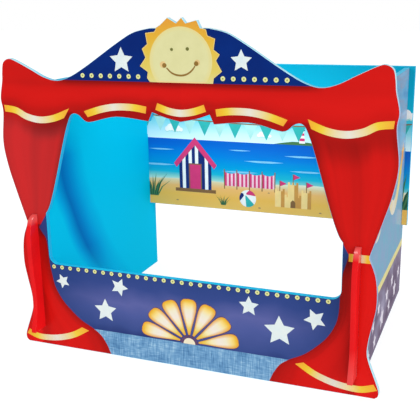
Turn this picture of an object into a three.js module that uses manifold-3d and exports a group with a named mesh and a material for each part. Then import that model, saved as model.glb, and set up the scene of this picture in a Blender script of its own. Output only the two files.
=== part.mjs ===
// Tabletop puppet theatre made of four slotted boards.
// The front board is cut to the outline of tied-back curtains under a small arch, round a stage opening.
// Each side board has a nose that passes through a slot in the front board and stands out of its face.
// The backdrop is halved over the side boards near their rear edges and lifts out upwards.
// Millimetres. X runs along the front, Y from the front to the back, Z up from the table.
import * as THREE from "three";
import { mergeVertices } from "three/addons/utils/BufferGeometryUtils.js";
import Module from "manifold-3d";

const wasm = await Module();
wasm.setup();

// Sheet and fit
const boardThickness = 9;
const fitGap = 0.3; // left between two boards wherever they meet

// Plan of the four boards
const sideSpan = 592; // from one side board's outer face to the other's
const sideDepth = 489; // from the front board's face to the side boards' rear edges
const sideHeight = 483;

// Front board
const archHeight = 579; // table to the top of the arch
const wingOverhang = 50; // the curtains' widest point past the side boards
const openingMargin = 20; // from a side board's inner face to the opening's upright edge
const sillHeight = 162; // table to the opening's lower edge
const sillCornerRadius = 16;

// Sun rays cut into the top of the arch
const sunAside = 2.4; // the sun's middle, to the right of the arch's middle
const raysProud = 16; // the tallest ray's tip above the arch
const rayReach = 70; // the sun's middle to the tallest ray's tip

// Nose of each side board
const noseFoot = 35; // table to the nose's underside
const noseHeight = 218;
const noseReach = 33; // in front of the front board's face

// Backdrop
const backdropOverhang = 12; // past each side board's outer face
const handGap = 157; // table to the backdrop's lower edge, room for the puppeteers' hands
const backdropRise = 3; // above the side boards' top edges
const rearTail = 20; // side board left behind the backdrop

// Steps along each stretch of a smooth outline
const curveSteps = 5;
const cornerSteps = 6;

// How far every cutter runs past the board that it cuts
const cutOverrun = 2;

// Places that follow from the sizes above
const sideHalf = sideSpan / 2;
const innerHalf = sideHalf - boardThickness;
const openingHalf = innerHalf - openingMargin;
const noseTop = noseFoot + noseHeight;
const shoulder = boardThickness + fitGap;
const backdropFace = sideDepth - rearTail - boardThickness;
const backdropHalf = sideHalf + backdropOverhang;
const backdropTop = sideHeight + backdropRise;
const crossHeight = (handGap + sideHeight) / 2; // where the halved boards meet

// The rays above the arch from left to right, drawn by hand and so not quite even.
// Turns from upright in degrees, each with its share of rayReach. The feet stand on the arch.
const tallestDegrees = -17.4;
const rayShares = [
  [-31, 0.93],
  [tallestDegrees, 1],
  [-6, 0.84],
  [2.5, 0.955],
  [9.7, 0.845],
  [24.3, 0.985],
];
const rayFeetDegrees = [-39.7, 34];

// Right half of the front board's outline, as shares of sideHalf, wingOverhang and archHeight.
const archShares = [
  [0.169, 0, 1],
  [0.27, 0, 0.988],
  [0.372, 0, 0.959],
  [0.473, 0, 0.926],
  [0.574, 0, 0.893],
  [0.676, 0, 0.864],
  [0.76, 0, 0.852],
  [0.845, 0, 0.86],
  [0.946, 0, 0.885],
  [1, 0.28, 0.909],
  [1, 0.52, 0.912],
  [1, 0.72, 0.9],
  [1, 0.79, 0.872],
  [1, 0.82, 0.846],
  [1, 0.94, 0.795],
  [1, 0.886, 0.751],
  [1, 0.996, 0.662],
  [1, 0.87, 0.587],
  [1, 0.644, 0.518],
  [1, 0.394, 0.449],
  [1, 0.26, 0.413],
];
const skirtShares = [
  [1, 0.26, 0.405],
  [1, 0.45, 0.363],
  [1, 0.53, 0.32],
  [1, 0.535, 0.27],
  [1, 0.44, 0.22],
  [1, 0.34, 0.176],
  [1, 0.3, 0.135],
  [1, 0.38, 0.104],
  [1, 0.65, 0.043],
  [1, 0.72, 0.022],
  [1, 0.7, 0.008],
  [1, 0.6, 0],
];

// Right half of the opening above its upright edge, as shares of openingHalf and archHeight.
const curtainShares = [
  [1, 0.444],
  [0.97, 0.466],
  [0.92, 0.53],
  [0.826, 0.675],
  [0.786, 0.728],
  [0.762, 0.75],
  [0.734, 0.757],
  [0.7, 0.752],
  [0.667, 0.739],
  [0.64, 0.734],
  [0.599, 0.736],
  [0.43, 0.753],
  [0.213, 0.744],
];
const middleSwagShares = [
  [0.187, 0.77],
  [0.105, 0.757],
  [0, 0.7465],
];

// Front edge of a nose from its top to its toe, as shares of noseReach and noseHeight.
const noseShares = [
  [0, 1],
  [0.28, 0.99],
  [0.56, 0.95],
  [0.76, 0.858],
  [0.81, 0.75],
  [0.77, 0.6],
  [0.71, 0.45],
  [0.65, 0.29],
  [0.68, 0.2],
  [0.82, 0.11],
  [1, 0.02],
];

const printedRed = "#d5171a";
const paintedCyan = "#19b8e6";
const printedSea = "#2f9fd4";

// A smooth outline through hand-picked points.
function smooth(points) {
  return new THREE.SplineCurve(points).getPoints((points.length - 1) * curveSteps);
}

function mirrored(points) {
  return points.map((p) => new THREE.Vector2(-p.x, p.y)).reverse();
}

// The rays' outline above the arch, from the left foot to the right one.
function rayPoints() {
  const turned = (degrees) => THREE.MathUtils.degToRad(degrees);
  const sunDrop = rayReach * Math.cos(turned(tallestDegrees)) - raysProud;
  const at = (degrees, radius) =>
    new THREE.Vector2(
      sunAside + radius * Math.sin(turned(degrees)),
      archHeight - sunDrop + radius * Math.cos(turned(degrees)),
    );
  const onArch = (degrees) => at(degrees, sunDrop / Math.cos(turned(degrees)));
  const rays = rayShares.map(([degrees, reachShare]) => at(degrees, reachShare * rayReach));
  return [onArch(rayFeetDegrees[0]), ...rays, onArch(rayFeetDegrees[1])];
}

function frontOutline() {
  const place = ([spanShare, overhangShare, heightShare]) =>
    new THREE.Vector2(spanShare * sideHalf + overhangShare * wingOverhang, heightShare * archHeight);
  const right = [...smooth(archShares.map(place)), ...smooth(skirtShares.map(place))];
  return [...rayPoints(), ...right, ...mirrored(right)];
}

function openingOutline() {
  const place = ([widthShare, heightShare]) =>
    new THREE.Vector2(widthShare * openingHalf, heightShare * archHeight);
  const corner = [];
  for (let i = 0; i <= cornerSteps; i++) {
    const turn = (Math.PI / 2) * (i / cornerSteps);
    corner.push(
      new THREE.Vector2(
        openingHalf - sillCornerRadius * (1 - Math.sin(turn)),
        sillHeight + sillCornerRadius * (1 - Math.cos(turn)),
      ),
    );
  }
  const right = [
    ...corner,
    ...smooth(curtainShares.map(place)),
    ...smooth(middleSwagShares.map(place)),
  ];
  return [...right, ...mirrored(right.slice(0, -1))];
}

// An upright slot right through a board, round the middle of a side board at x.
function slotOutline(x, low, high) {
  const half = boardThickness / 2 + fitGap;
  return [
    new THREE.Vector2(x - half, low),
    new THREE.Vector2(x + half, low),
    new THREE.Vector2(x + half, high),
    new THREE.Vector2(x - half, high),
  ];
}

function solidOf(geometry) {
  geometry.deleteAttribute("normal");
  geometry.deleteAttribute("uv");
  const merged = mergeVertices(geometry);
  return new wasm.Manifold(
    new wasm.Mesh({
      numProp: 3,
      vertProperties: merged.attributes.position.array,
      triVerts: new Uint32Array(merged.index.array),
    }),
  );
}

function geometryOf(solid) {
  const mesh = solid.getMesh();
  return new THREE.BufferGeometry()
    .setAttribute("position", new THREE.BufferAttribute(mesh.vertProperties, 3))
    .setIndex(new THREE.BufferAttribute(mesh.triVerts, 1))
    .toNonIndexed();
}

// Cuts closed outlines right through a board drawn flat at z from 0 to its thickness.
function cutThrough(board, outlines) {
  let solid = solidOf(board);
  for (const outline of outlines) {
    const depth = boardThickness + 2 * cutOverrun;
    const cutter = new THREE.ExtrudeGeometry(new THREE.Shape(outline), { depth, bevelEnabled: false });
    solid = solid.subtract(solidOf(cutter.translate(0, 0, -cutOverrun)));
  }
  const cut = geometryOf(solid);
  cut.computeVertexNormals();
  return cut;
}

function boardGeometry(shape) {
  return new THREE.ExtrudeGeometry(shape, { depth: boardThickness, bevelEnabled: false });
}

function boardMesh(name, geometry, colour) {
  const material = new THREE.MeshStandardMaterial({ color: colour, roughness: 0.3, metalness: 0 });
  const mesh = new THREE.Mesh(geometry, material);
  mesh.name = name;
  return mesh;
}

// Lays a shape drawn in X and Z into the board whose front face is at y.
function standAcross(mesh, y) {
  mesh.rotation.set(Math.PI / 2, 0, 0);
  mesh.position.set(0, y + boardThickness, 0);
  return mesh;
}

// Lays a shape drawn in Y and Z into the board whose lower X face is at x.
function standAlong(mesh, x) {
  mesh.rotation.set(Math.PI / 2, Math.PI / 2, 0);
  mesh.position.set(x, 0, 0);
  return mesh;
}

function frontBoard() {
  const shape = new THREE.Shape(frontOutline());
  shape.holes.push(new THREE.Path(openingOutline()));
  const slots = [-1, 1].map((side) =>
    slotOutline(side * (sideHalf - boardThickness / 2), noseFoot - fitGap, noseTop + fitGap),
  );
  const board = cutThrough(boardGeometry(shape), slots);
  return standAcross(boardMesh("front_panel", board, printedRed), 0);
}

function sideShape() {
  const nose = smooth(
    noseShares.map(([reachShare, heightShare]) =>
      new THREE.Vector2(-reachShare * noseReach, noseFoot + heightShare * noseHeight),
    ),
  );
  return new THREE.Shape([
    new THREE.Vector2(shoulder, 0),
    new THREE.Vector2(sideDepth, 0),
    new THREE.Vector2(sideDepth, sideHeight),
    new THREE.Vector2(backdropFace + boardThickness + fitGap, sideHeight),
    new THREE.Vector2(backdropFace + boardThickness + fitGap, crossHeight),
    new THREE.Vector2(backdropFace - fitGap, crossHeight),
    new THREE.Vector2(backdropFace - fitGap, sideHeight),
    new THREE.Vector2(shoulder, sideHeight),
    new THREE.Vector2(shoulder, noseTop),
    ...nose,
    new THREE.Vector2(-noseReach, noseFoot),
    new THREE.Vector2(shoulder, noseFoot),
  ]);
}

function sideBoard(name, x) {
  return standAlong(boardMesh(name, boardGeometry(sideShape()), paintedCyan), x);
}

function backdropBoard() {
  const shape = new THREE.Shape([
    new THREE.Vector2(-backdropHalf, handGap),
    new THREE.Vector2(backdropHalf, handGap),
    new THREE.Vector2(backdropHalf, backdropTop),
    new THREE.Vector2(-backdropHalf, backdropTop),
  ]);
  const notches = [-1, 1].map((side) =>
    slotOutline(side * (sideHalf - boardThickness / 2), handGap - cutOverrun, crossHeight + fitGap),
  );
  const board = cutThrough(boardGeometry(shape), notches);
  return standAcross(boardMesh("backdrop_panel", board, printedSea), backdropFace);
}

// The whole theatre stands round the middle of its plan, on the table.
const theatre = new THREE.Group();
theatre.add(frontBoard());
theatre.add(sideBoard("left_side_panel", -sideHalf));
theatre.add(sideBoard("right_side_panel", innerHalf));
theatre.add(backdropBoard());
theatre.position.set(0, (noseReach - sideDepth) / 2, 0);

export default theatre;
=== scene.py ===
"""Dresses the four slotted boards of a tabletop puppet theatre: painted MDF, printed faces and a studio."""

import math

import bmesh
import bpy
from mathutils import Matrix, Vector
from mathutils.geometry import delaunay_2d_cdt


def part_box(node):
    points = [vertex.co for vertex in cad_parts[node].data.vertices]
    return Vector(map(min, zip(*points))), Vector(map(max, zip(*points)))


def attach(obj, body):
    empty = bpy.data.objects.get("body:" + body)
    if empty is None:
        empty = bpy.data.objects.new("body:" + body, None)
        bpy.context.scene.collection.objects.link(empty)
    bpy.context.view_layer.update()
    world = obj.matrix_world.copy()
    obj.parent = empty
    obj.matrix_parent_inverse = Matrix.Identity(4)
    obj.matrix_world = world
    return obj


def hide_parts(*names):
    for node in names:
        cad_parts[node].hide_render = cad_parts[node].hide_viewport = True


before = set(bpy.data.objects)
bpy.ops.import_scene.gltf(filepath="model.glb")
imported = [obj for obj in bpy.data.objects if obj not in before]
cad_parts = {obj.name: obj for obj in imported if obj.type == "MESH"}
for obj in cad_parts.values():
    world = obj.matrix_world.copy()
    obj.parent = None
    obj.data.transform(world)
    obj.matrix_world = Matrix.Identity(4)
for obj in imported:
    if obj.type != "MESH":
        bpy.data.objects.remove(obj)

bl_info = {
    "name": "Puppet theatre",
    "version": (1, 0, 0),
    "blender": (4, 5, 0),
    "location": "3D View > Sidebar > Theatre",
    "description": "Paints, prints and lights the slotted boards of a tabletop puppet theatre",
    "category": "Object",
}

MM = 0.001
WELD = 0.01 * MM  # points closer than this are one point
CUT_STEP = 0.001 * MM
BEYOND = 1000 * MM  # further out than any board reaches
UP = Vector((0, 0, 1))

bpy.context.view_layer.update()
FRONT_LOW, FRONT_HIGH = (Vector(corner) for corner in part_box("front_panel"))
LEFT_LOW, LEFT_HIGH = (Vector(corner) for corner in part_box("left_side_panel"))
RIGHT_LOW, RIGHT_HIGH = (Vector(corner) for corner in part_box("right_side_panel"))
BACK_LOW, BACK_HIGH = (Vector(corner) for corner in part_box("backdrop_panel"))
HALF = FRONT_HIGH.x  # half the front board's width
TALL = FRONT_HIGH.z  # table to the top of the middle ray
BOARD = FRONT_HIGH.y - FRONT_LOW.y  # thickness of every board
BACK_HALF = BACK_HIGH.x
BACK_TALL = BACK_HIGH.z - BACK_LOW.z
SIDE_TALL = RIGHT_HIGH.z
SIDE_DEEP = RIGHT_HIGH.y - FRONT_HIGH.y

# The camera that took the photo, solved from the boards' straight edges: its lens in millimetres, its
# place, and how it rolls, tilts and pans from a level view to the rear
CAMERA_LENS = 65.46
CAMERA_PLACE = (0.4905, -1.3416, 0.6255)
CAMERA_TURNS = ((0.96, "Y"), (-15.623, "X"), (21.672, "Z"))

# Layers of print above a board's bare face, each sunk a little in the one below it
GROUND = (-0.05 * MM, 0.15 * MM)
MOTIF = (0.1 * MM, 0.25 * MM)
DETAIL = (0.2 * MM, 0.35 * MM)

# Right half of the line where the navy base meets the curtain skirt, from the table up.
# Shares of HALF and TALL. The two sides part on the way up to their ties.
SKIRT_SHARES = [
    (0.434, 0), (0.452, 0.026), (0.485, 0.056), (0.534, 0.0775), (0.6, 0.098), (0.655, 0.124),
    (0.709, 0.157), (0.748, 0.197), (0.764, 0.238),
]
RIGHT_TIE_SHARES = [(0.768, 0.31), (0.776, 0.345), (0.79, 0.375), (0.801, 0.4), (0.772, 0.43)]
LEFT_TIE_SHARES = [
    (0.774, 0.275), (0.778, 0.32), (0.785, 0.352), (0.805, 0.369), (0.822, 0.386), (0.772, 0.43),
]

# Centre lines of the gold trims on the right half, in shares of HALF and TALL
OUTER_TRIM_SHARES = [
    (0.61, 0.737), (0.69, 0.72), (0.77, 0.7142), (0.845, 0.7225), (0.905, 0.739), (0.972, 0.744),
]
INNER_TRIM_SHARES = [(0.176, 0.7552), (0.247, 0.7607), (0.338, 0.7602), (0.42, 0.7517), (0.502, 0.7367)]
MIDDLE_TRIM_SHARES = [(-0.122, 0.7665), (-0.06, 0.755), (0, 0.7505), (0.06, 0.755), (0.122, 0.7665)]
HEM_TRIM_SHARES = [
    (0.582, 0.071), (0.655, 0.046), (0.735, 0.03), (0.81, 0.0225), (0.88, 0.022), (0.944, 0.034),
]

# Tips and valleys of the sun's rays: degrees from upright, and radius as a share of the disc's.
# The four highest tips run past the board, whose outline cuts them.
RAY_SHARES = [
    (-150, 1.2), (-121.5, 1.193), (-114.7, 1.219), (-106.8, 1.125), (-96.7, 1.339), (-85.3, 1.142),
    (-74.2, 1.292), (-65.3, 1.174), (-54, 1.382), (-44.3, 1.182), (-39.7, 1.2), (-34, 1.6), (-12, 1.6),
    (10, 1.6), (29, 1.6), (33.5, 1.161), (42.1, 1.227), (49.5, 1.139), (59.3, 1.279), (71.7, 1.103),
    (80.4, 1.253), (88.3, 1.116), (101.9, 1.326), (114.3, 1.146), (122, 1.199), (150, 1.2),
]

# The smile: place in shares of the sun's radius from its middle
SMILE_SHARES = [
    (-0.455, -0.19), (-0.34, -0.305), (-0.2, -0.38), (-0.03, -0.41), (0.14, -0.39), (0.29, -0.315),
    (0.4, -0.21), (0.46, -0.125),
]

# Stars on the front: place in shares of HALF and TALL, size as a share of HALF, turn in degrees
STAR_SHARES = [
    (-0.295, 0.8875, 0.062, 0), (0.298, 0.891, 0.0515, 0),
    (-0.7, 0.22, 0.041, 25), (-0.367, 0.225, 0.05, -22), (-0.454, 0.143, 0.066, 0),
    (0.33, 0.22, 0.052, 0), (0.483, 0.158, 0.079, 2), (0.654, 0.207, 0.055, 27),
]

# Streaks airbrushed down the cloth: share across it from its inner edge, half width, and how much lighter
LEFT_STREAK_SHARES = [
    (0, 0.07, -0.3), (0.3, 0.09, 0.0), (0.46, 0.09, -0.08), (0.72, 0.16, 0.12), (1, 0.05, -0.1),
]
RIGHT_STREAK_SHARES = [
    (0, 0.08, -0.3), (0.24, 0.1, 0.04), (0.5, 0.08, -0.1), (0.74, 0.13, 0.1), (1, 0.06, -0.12),
]
SKIRT_STREAK_SHARES = [
    (0, 0.14, -0.5), (0.42, 0.14, 0.14), (0.62, 0.07, 0.04), (0.82, 0.12, 0.18), (1, 0.06, -0.1),
]

# Half widths of the navy under the arch and of the denim strip, and where the ties begin, in shares of HALF
ARCH_SHARE = 0.66
DENIM_SHARE = 0.56
LEFT_TIE_START_SHARE = 0.83
RIGHT_TIE_START_SHARE = 0.801

# The ties: where the run of gold, yellow and cream across them begins, and its length, in shares of HALF
TIE_END_SHARE = 0.8
TIE_RUN_SHARE = 0.1

# Lower and upper edge of the stripe on the outer side boards, in shares of their height
STRIPE_SHARES = (0.218, 0.249)

# Stars on the outer side boards: place in shares of their depth and height, size, turn in degrees
SIDE_STAR_SHARES = [
    (0.14, 0.12, 0.03, 12), (0.2, 0.034, 0.033, -14), (0.288, 0.12, 0.029, 8), (0.334, 0.042, 0.031, 0),
    (0.404, 0.146, 0.031, -6), (0.493, 0.073, 0.047, 4), (0.606, 0.1265, 0.034, -4), (0.673, 0.056, 0.032, 8),
    (0.737, 0.144, 0.032, 0), (0.823, 0.074, 0.043, -8), (0.922, 0.119, 0.031, 6),
]

# The shore on the backdrop, in shares of its half width and height from the shore line
SHORE_SHARES = [(-1.1, -0.02), (-0.6, 0.0), (-0.2, -0.012), (0.3, 0.012), (0.7, 0.0), (1.1, 0.02)]

# The backdrop's horizon and shore line, in shares of its height
HORIZON_SHARE = 0.478
SHORE_LINE_SHARE = 0.2

# Colours of the view's grounds, in shares of their own height
VIEW_SKY_STOPS = [
    (0.0, "#D2EEF2"), (0.08, "#C2E4EA"), (0.2, "#90D2DA"), (0.32, "#45BECC"), (0.46, "#0EA8C2"),
    (0.7, "#04A0BE"), (1.0, "#0494B2"),
]
VIEW_SEA_STOPS = [
    (0.0, "#B8D8CA"), (0.07, "#7CC4BC"), (0.18, "#1CACC2"), (0.36, "#0294C8"), (0.62, "#047AC8"),
    (0.85, "#0862BE"), (1.0, "#0A5AB8"),
]
VIEW_SAND_STOPS = [(0.0, "#E8B85E"), (0.4, "#E9B150"), (0.7, "#EAB168"), (0.86, "#DEC594"), (1.0, "#DFE0C4")]

# Inks of the view's motifs
VIEW_INKS = {
    "foam": "#7FC4E2",
    "chalk white": "#F2EEE8",
    "pale aqua": "#A6DAD2",
    "deep aqua": "#34ACA6",
    "marine blue": "#1C2C6C",
    "candy pink": "#D63A70",
    "pale pink": "#F4C4CE",
    "driftwood brown": "#86603A",
    "dry sand": "#F6D086",
    "wet sand": "#CE9248",
    "pebble grey": "#A8835C",
    "marram green": "#48764A",
    "deep green": "#24563E",
}

# A petal from root to tip: how far out its steps lie in shares of its length, and how wide it is there in
# shares of its widest place. Both ends come first.
PETAL_COURSE_SHARES = [(0, 0), (1, 1), (0.5, 0.56), (0.7, 0.775), (0.85, 0.915), (0.95, 0.985)]
PETAL_WIDTH_SHARES = [
    (0, 0.12), (1, 0), (0.16, 0.31), (0.32, 0.55), (0.5, 0.8), (0.68, 0.98), (0.78, 0.99), (0.9, 0.78),
    (0.96, 0.5),
]


def linear(code):
    """An sRGB hex colour as the linear colour that shaders take. Any other value stays as it is."""
    if not isinstance(code, str) or not code.startswith("#"):
        return code
    channels = [int(code[i : i + 2], 16) / 255 for i in (1, 3, 5)]
    return tuple(c / 12.92 if c <= 0.04045 else ((c + 0.055) / 1.055) ** 2.4 for c in channels) + (1.0,)


def length(name, description, millimetres):
    """A size that a user can change."""
    return bpy.props.FloatProperty(
        name=name, description=description, default=millimetres * MM, min=0, unit="LENGTH"
    )


def colour(name, description, code):
    """A colour that a user can change."""
    return bpy.props.FloatVectorProperty(
        name=name, description=description, default=linear(code), size=4, min=0, max=1, subtype="COLOR"
    )


class TheatreSizes(bpy.types.PropertyGroup):
    ease: length("Edge ease", "Radius sanded on the boards' cut edges", 0.5)
    slot_ease: length("Slot ease", "Radius sanded on the slots that the noses pass through", 0.1)
    slot_fill: length("Slot fill", "Paint built up on each wall of the slots", 0.2)
    reveal: length("Reveal", "Paint left bare between a print and the eased edge", 0.02)
    grain: length("Print grain", "Spacing of the points that carry the curtains' shading", 4.6)
    pelmet_line: length("Pelmet line", "Table to the line between the arch and the pelmet", 494.7)
    denim_line: length("Denim line", "Table to the top of the denim strip", 45.3)
    tie_low: length("Tie, lower edge", "Table to the lower edge of the curtain ties", 227.5)
    tie_high: length("Tie, upper edge", "Table to the upper edge of the curtain ties", 240.5)
    trim_width: length("Trim width", "Width of the gold trims", 11.5)
    sun_radius: length("Sun radius", "Radius of the sun's disc", 53.4)
    sun_aside: length("Sun aside", "Middle of the board to the middle of the sun", 2.4)
    sun_drop: length("Sun drop", "Tip of the tallest ray down to the middle of the sun", 66.8)
    ray_line: length("Ray line", "Width of the cream line round the rays", 0.9)
    dot_radius: length("Dot radius", "Radius of a printed dot", 3.8)
    shell_reach: length("Shell reach", "Middle of the shell to the tip of its middle petal", 82.5)
    shell_root: length("Shell root", "Middle of the shell to the root of its petals", 16)
    shell_hub: length("Shell hub", "Radius of the shell's hub", 11)


class TheatreColours(bpy.types.PropertyGroup):
    red: colour("Curtain red", "Lit cloth of the curtains", "#C6120E")
    deep_red: colour("Deep red", "Cloth in shade under the trims", "#74090A")
    bright_red: colour("Bright red", "Crests of the curtains' pleats", "#DA1713")
    nose_red: colour("Nose red", "Paint of the side boards' noses", "#E41418")
    arch_navy: colour("Arch navy", "Ground round the sun", "#012976")
    base_navy: colour("Base navy", "Ground under the stage", "#283F7C")
    glow: colour("Glow", "Violet glow in the middle of the base", "#495694")
    denim: colour("Denim", "Middle tone of the denim strip", "#6695BE")
    gold: colour("Gold", "Ends of the trims", "#E8A534")
    yellow: colour("Yellow", "Trims between their ends and middle", "#E5C842")
    cream: colour("Cream", "Middle of the trims", "#DDD9CC")
    star: colour("Star white", "Printed stars", "#D2E0E3")
    dot: colour("Dot yellow", "Printed dots", "#DDDFA0")
    sun: colour("Sun", "The sun's disc", "#D6D39D")
    ray: colour("Ray", "Upper rays of the sun", "#DA9A38")
    features: colour("Sun's face", "Eyes, cheeks and smile", "#93703A")
    plum: colour("Plum", "Lines between the shell's petals", "#634868")
    edge: colour("Edge paint", "Light blue paint on cut edges and backs", "#12B6E0")
    # painted highlight: the pale colour of the highest edges, where light catches them
    edge_pale: colour("Pale edge paint", "Thin coat over the primer on the highest edges", "#B9E2EC")
    sky: colour("Sky", "Inner faces of the side boards", "#02B8DA")
    dusk: colour("Dusk", "Outer faces of the side boards, above the stripe", "#5E86B4")
    violet: colour("Violet", "Outer faces of the side boards, below the stripe", "#7F7088")
    floor: colour("Floor", "Studio floor", "#A0A0A0")


def add(tree, kind, inputs=None, stops=(), points=(), **settings):
    """Adds one node, with its settings, its ramp's stops or its curve's points, and its inputs. A
    colour may be a hex code. An input may be a value, a socket to link, or a node whose first output
    in use is linked."""
    node = tree.nodes.new(kind)
    for name, value in settings.items():
        setattr(node, name, value)
    for index, (place, value) in enumerate(stops):
        elements = node.color_ramp.elements
        stop = elements[index] if index < len(elements) else elements.new(place)
        stop.position = place
        stop.color = linear(value)
    for index, (place, value) in enumerate(points):
        curve = node.mapping.curves[0].points
        if index < len(curve):
            curve[index].location = (place, value)
        else:
            curve.new(place, value)
    if points:
        node.mapping.update()
    for socket, value in (inputs or {}).items():
        if isinstance(value, bpy.types.Node):
            value = next(output for output in value.outputs if output.enabled)
        if isinstance(value, bpy.types.NodeSocket):
            tree.links.new(value, node.inputs[socket])
        else:
            node.inputs[socket].default_value = linear(value)
    return node


def varnished(name, ink, roughness=0.4, coat=0.25, peel=0.05, shine=0.05):
    """A finish under clear gloss varnish: ink(tree, place, tints) gives its colour. The varnish wets the
    ink, so the ink itself hardly shines, and it dries with a fine orange peel, which is drawn at 3 mm,
    coarser than it is, so that it still breaks up the reflections."""
    material = bpy.data.materials.new(name)
    material.use_nodes = True
    tree = material.node_tree
    tree.nodes.clear()
    place = add(tree, "ShaderNodeTexCoord").outputs["Object"]
    ripple = add(tree, "ShaderNodeTexNoise", {"Vector": place, "Scale": 1 / (3 * MM), "Detail": 1.0})
    bump = add(tree, "ShaderNodeBump", {"Height": ripple, "Strength": peel, "Distance": 0.2 * MM})
    shader = add(tree, "ShaderNodeBsdfPrincipled", {
        "Base Color": ink(tree, place, bpy.context.scene.theatre_colours),
        "Roughness": roughness,
        "IOR": 1.5,
        "Specular IOR Level": shine,
        "Coat Weight": coat,
        "Coat Roughness": 0.08,
        "Normal": bump,
    })
    add(tree, "ShaderNodeOutputMaterial", {"Surface": shader})
    return material


def mottled(light, dark, patch):
    """An ink that drifts between two colours in soft patches, as a large flat print does."""

    def ink(tree, place, tints=None):
        drift = add(
            tree, "ShaderNodeTexNoise", {"Vector": place, "Scale": 1 / patch, "Detail": 3.0, "Roughness": 0.5}
        )
        return add(tree, "ShaderNodeValToRGB", {0: drift}, stops=[(0.3, dark), (0.7, light)])

    return ink


def flat_ink(code):
    """One ink with the faint unevenness of a screen print."""
    light = linear(code)
    dark = tuple(c * 0.9 for c in light[:3]) + (1.0,)
    return mottled(light, dark, 18 * MM)


def graded(tree, value, low, high, stops):
    """Colours that follow a value as it climbs from low to high."""
    share = add(tree, "ShaderNodeMapRange", {0: value, 1: low, 2: high})
    return add(tree, "ShaderNodeValToRGB", {0: share}, stops=stops)


def stirred(tree, value, place, patch, reach, detail):
    """A value that wanders up and down by reach, in soft patches."""
    drift = add(tree, "ShaderNodeTexNoise", {"Vector": place, "Scale": 1 / patch, "Detail": detail})
    stir = add(tree, "ShaderNodeMapRange", {0: drift, 3: -reach, 4: reach})
    return add(tree, "ShaderNodeMath", {0: value, 1: stir}, operation="ADD")


def curtain_ink(tree, place, tints):
    """Airbrushed cloth, with a painted sheen on the left curtain. The attribute drape holds the sprayed tone,
    the share across the cloth from its inner edge, and how far it hangs free: 0 on the pelmet, 1 on the
    curtains."""
    drape = add(tree, "ShaderNodeAttribute", attribute_name="drape").outputs["Vector"]
    tone, across, hang = add(tree, "ShaderNodeSeparateXYZ", {0: drape}).outputs
    spot = add(tree, "ShaderNodeSeparateXYZ", {0: place}).outputs
    side = add(tree, "ShaderNodeMath", {0: spot["X"]}, operation="SIGN")
    # pleats run down the cloth, so their noise is fine across it and long down it
    fine = add(tree, "ShaderNodeMath", {0: across, 1: 7.0}, operation="MULTIPLY")
    long = add(tree, "ShaderNodeMath", {0: spot["Z"], 1: 3.0}, operation="MULTIPLY")
    folds = add(tree, "ShaderNodeCombineXYZ", {0: fine, 1: long, 2: side})
    pleat = add(tree, "ShaderNodeTexNoise", {"Vector": folds, "Scale": 1.0, "Detail": 2.0})
    # the pelmet is drawn along its length, so its noise is long across the board
    drawn = add(tree, "ShaderNodeMapping", {"Vector": place, "Scale": (5, 1, 28)})
    swell = add(tree, "ShaderNodeTexNoise", {"Vector": drawn, "Scale": 1.0, "Detail": 2.0})
    either = add(tree, "ShaderNodeMix", {0: hang, 2: swell, 3: pleat})
    stir = add(tree, "ShaderNodeMapRange", {0: either, 3: -0.17, 4: 0.17})
    brushed = add(tree, "ShaderNodeMath", {0: tone, 1: stir}, operation="ADD")
    cloth = add(tree, "ShaderNodeValToRGB", {0: brushed}, stops=[
        (0.0, tints.deep_red), (0.3, "#9B0F0B"), (0.6, tints.red), (0.8, "#D11410"), (1.0, tints.bright_red),
    ])
    # painted sheen: the left curtain's hanging cloth above the ties is mixed towards a pale pinkish grey,
    # where its varnish catches the light
    aside = add(tree, "ShaderNodeMapRange", {0: spot["X"], 1: -0.3 * HALF, 2: -0.75 * HALF, 3: 0.0, 4: 0.2})
    above = add(tree, "ShaderNodeMapRange", {0: spot["Z"], 1: 0.36 * TALL, 2: 0.42 * TALL, 4: hang})
    painted_sheen = add(tree, "ShaderNodeMath", {0: aside, 1: above}, operation="MULTIPLY")
    return add(tree, "ShaderNodeMix", {0: painted_sheen, 6: cloth, 7: "#A84A50"}, data_type="RGBA")


def base_ink(tree, place, tints):
    """Navy with a faint violet glow across its middle and a darker foot."""
    spot = add(tree, "ShaderNodeSeparateXYZ", {0: place}).outputs
    height = stirred(tree, spot["Z"], place, 90 * MM, 26 * MM, 2.0)
    glow = graded(tree, height, 40 * MM, 170 * MM, [
        (0.0, "#26366F"), (0.12, "#384A86"), (0.34, tints.glow), (0.5, "#575E9A"), (0.74, "#334685"),
        (1.0, tints.base_navy),
    ])
    aside = add(tree, "ShaderNodeMath", {0: spot["X"]}, operation="ABSOLUTE")
    dim = add(tree, "ShaderNodeMapRange", {0: aside, 1: 0.42 * HALF, 2: 0.72 * HALF, 3: 0.0, 4: 0.85})
    return add(tree, "ShaderNodeMix", {0: dim, 6: glow, 7: tints.base_navy}, data_type="RGBA")


def denim_ink(tree, place, tints):
    """Faded denim: slubby upright threads over fainter level ones, drawn 2 mm apart so that they show."""
    warp = add(tree, "ShaderNodeMapping", {"Vector": place, "Scale": (1 / (1.5 * MM), 1, 1 / (22 * MM))})
    weft = add(tree, "ShaderNodeMapping", {"Vector": place, "Scale": (1 / (14 * MM), 1, 1 / (1.8 * MM))})
    upright = add(tree, "ShaderNodeTexNoise", {"Vector": warp, "Scale": 1.0, "Detail": 2.0})
    level = add(tree, "ShaderNodeTexNoise", {"Vector": weft, "Scale": 1.0, "Detail": 1.0})
    fade = add(tree, "ShaderNodeTexNoise", {"Vector": place, "Scale": 1 / (26 * MM), "Detail": 2.0})
    cross = add(tree, "ShaderNodeMath", {0: upright, 1: 1.5, 2: level}, operation="MULTIPLY_ADD")
    wash = add(tree, "ShaderNodeMath", {0: fade, 1: 0.9, 2: cross}, operation="MULTIPLY_ADD")
    return graded(tree, wash, 1.2, 2.2, [
        (0.0, "#44739F"), (0.45, tints.denim), (0.72, "#7AA6C9"), (1.0, "#A4C6DA"),
    ])


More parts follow.
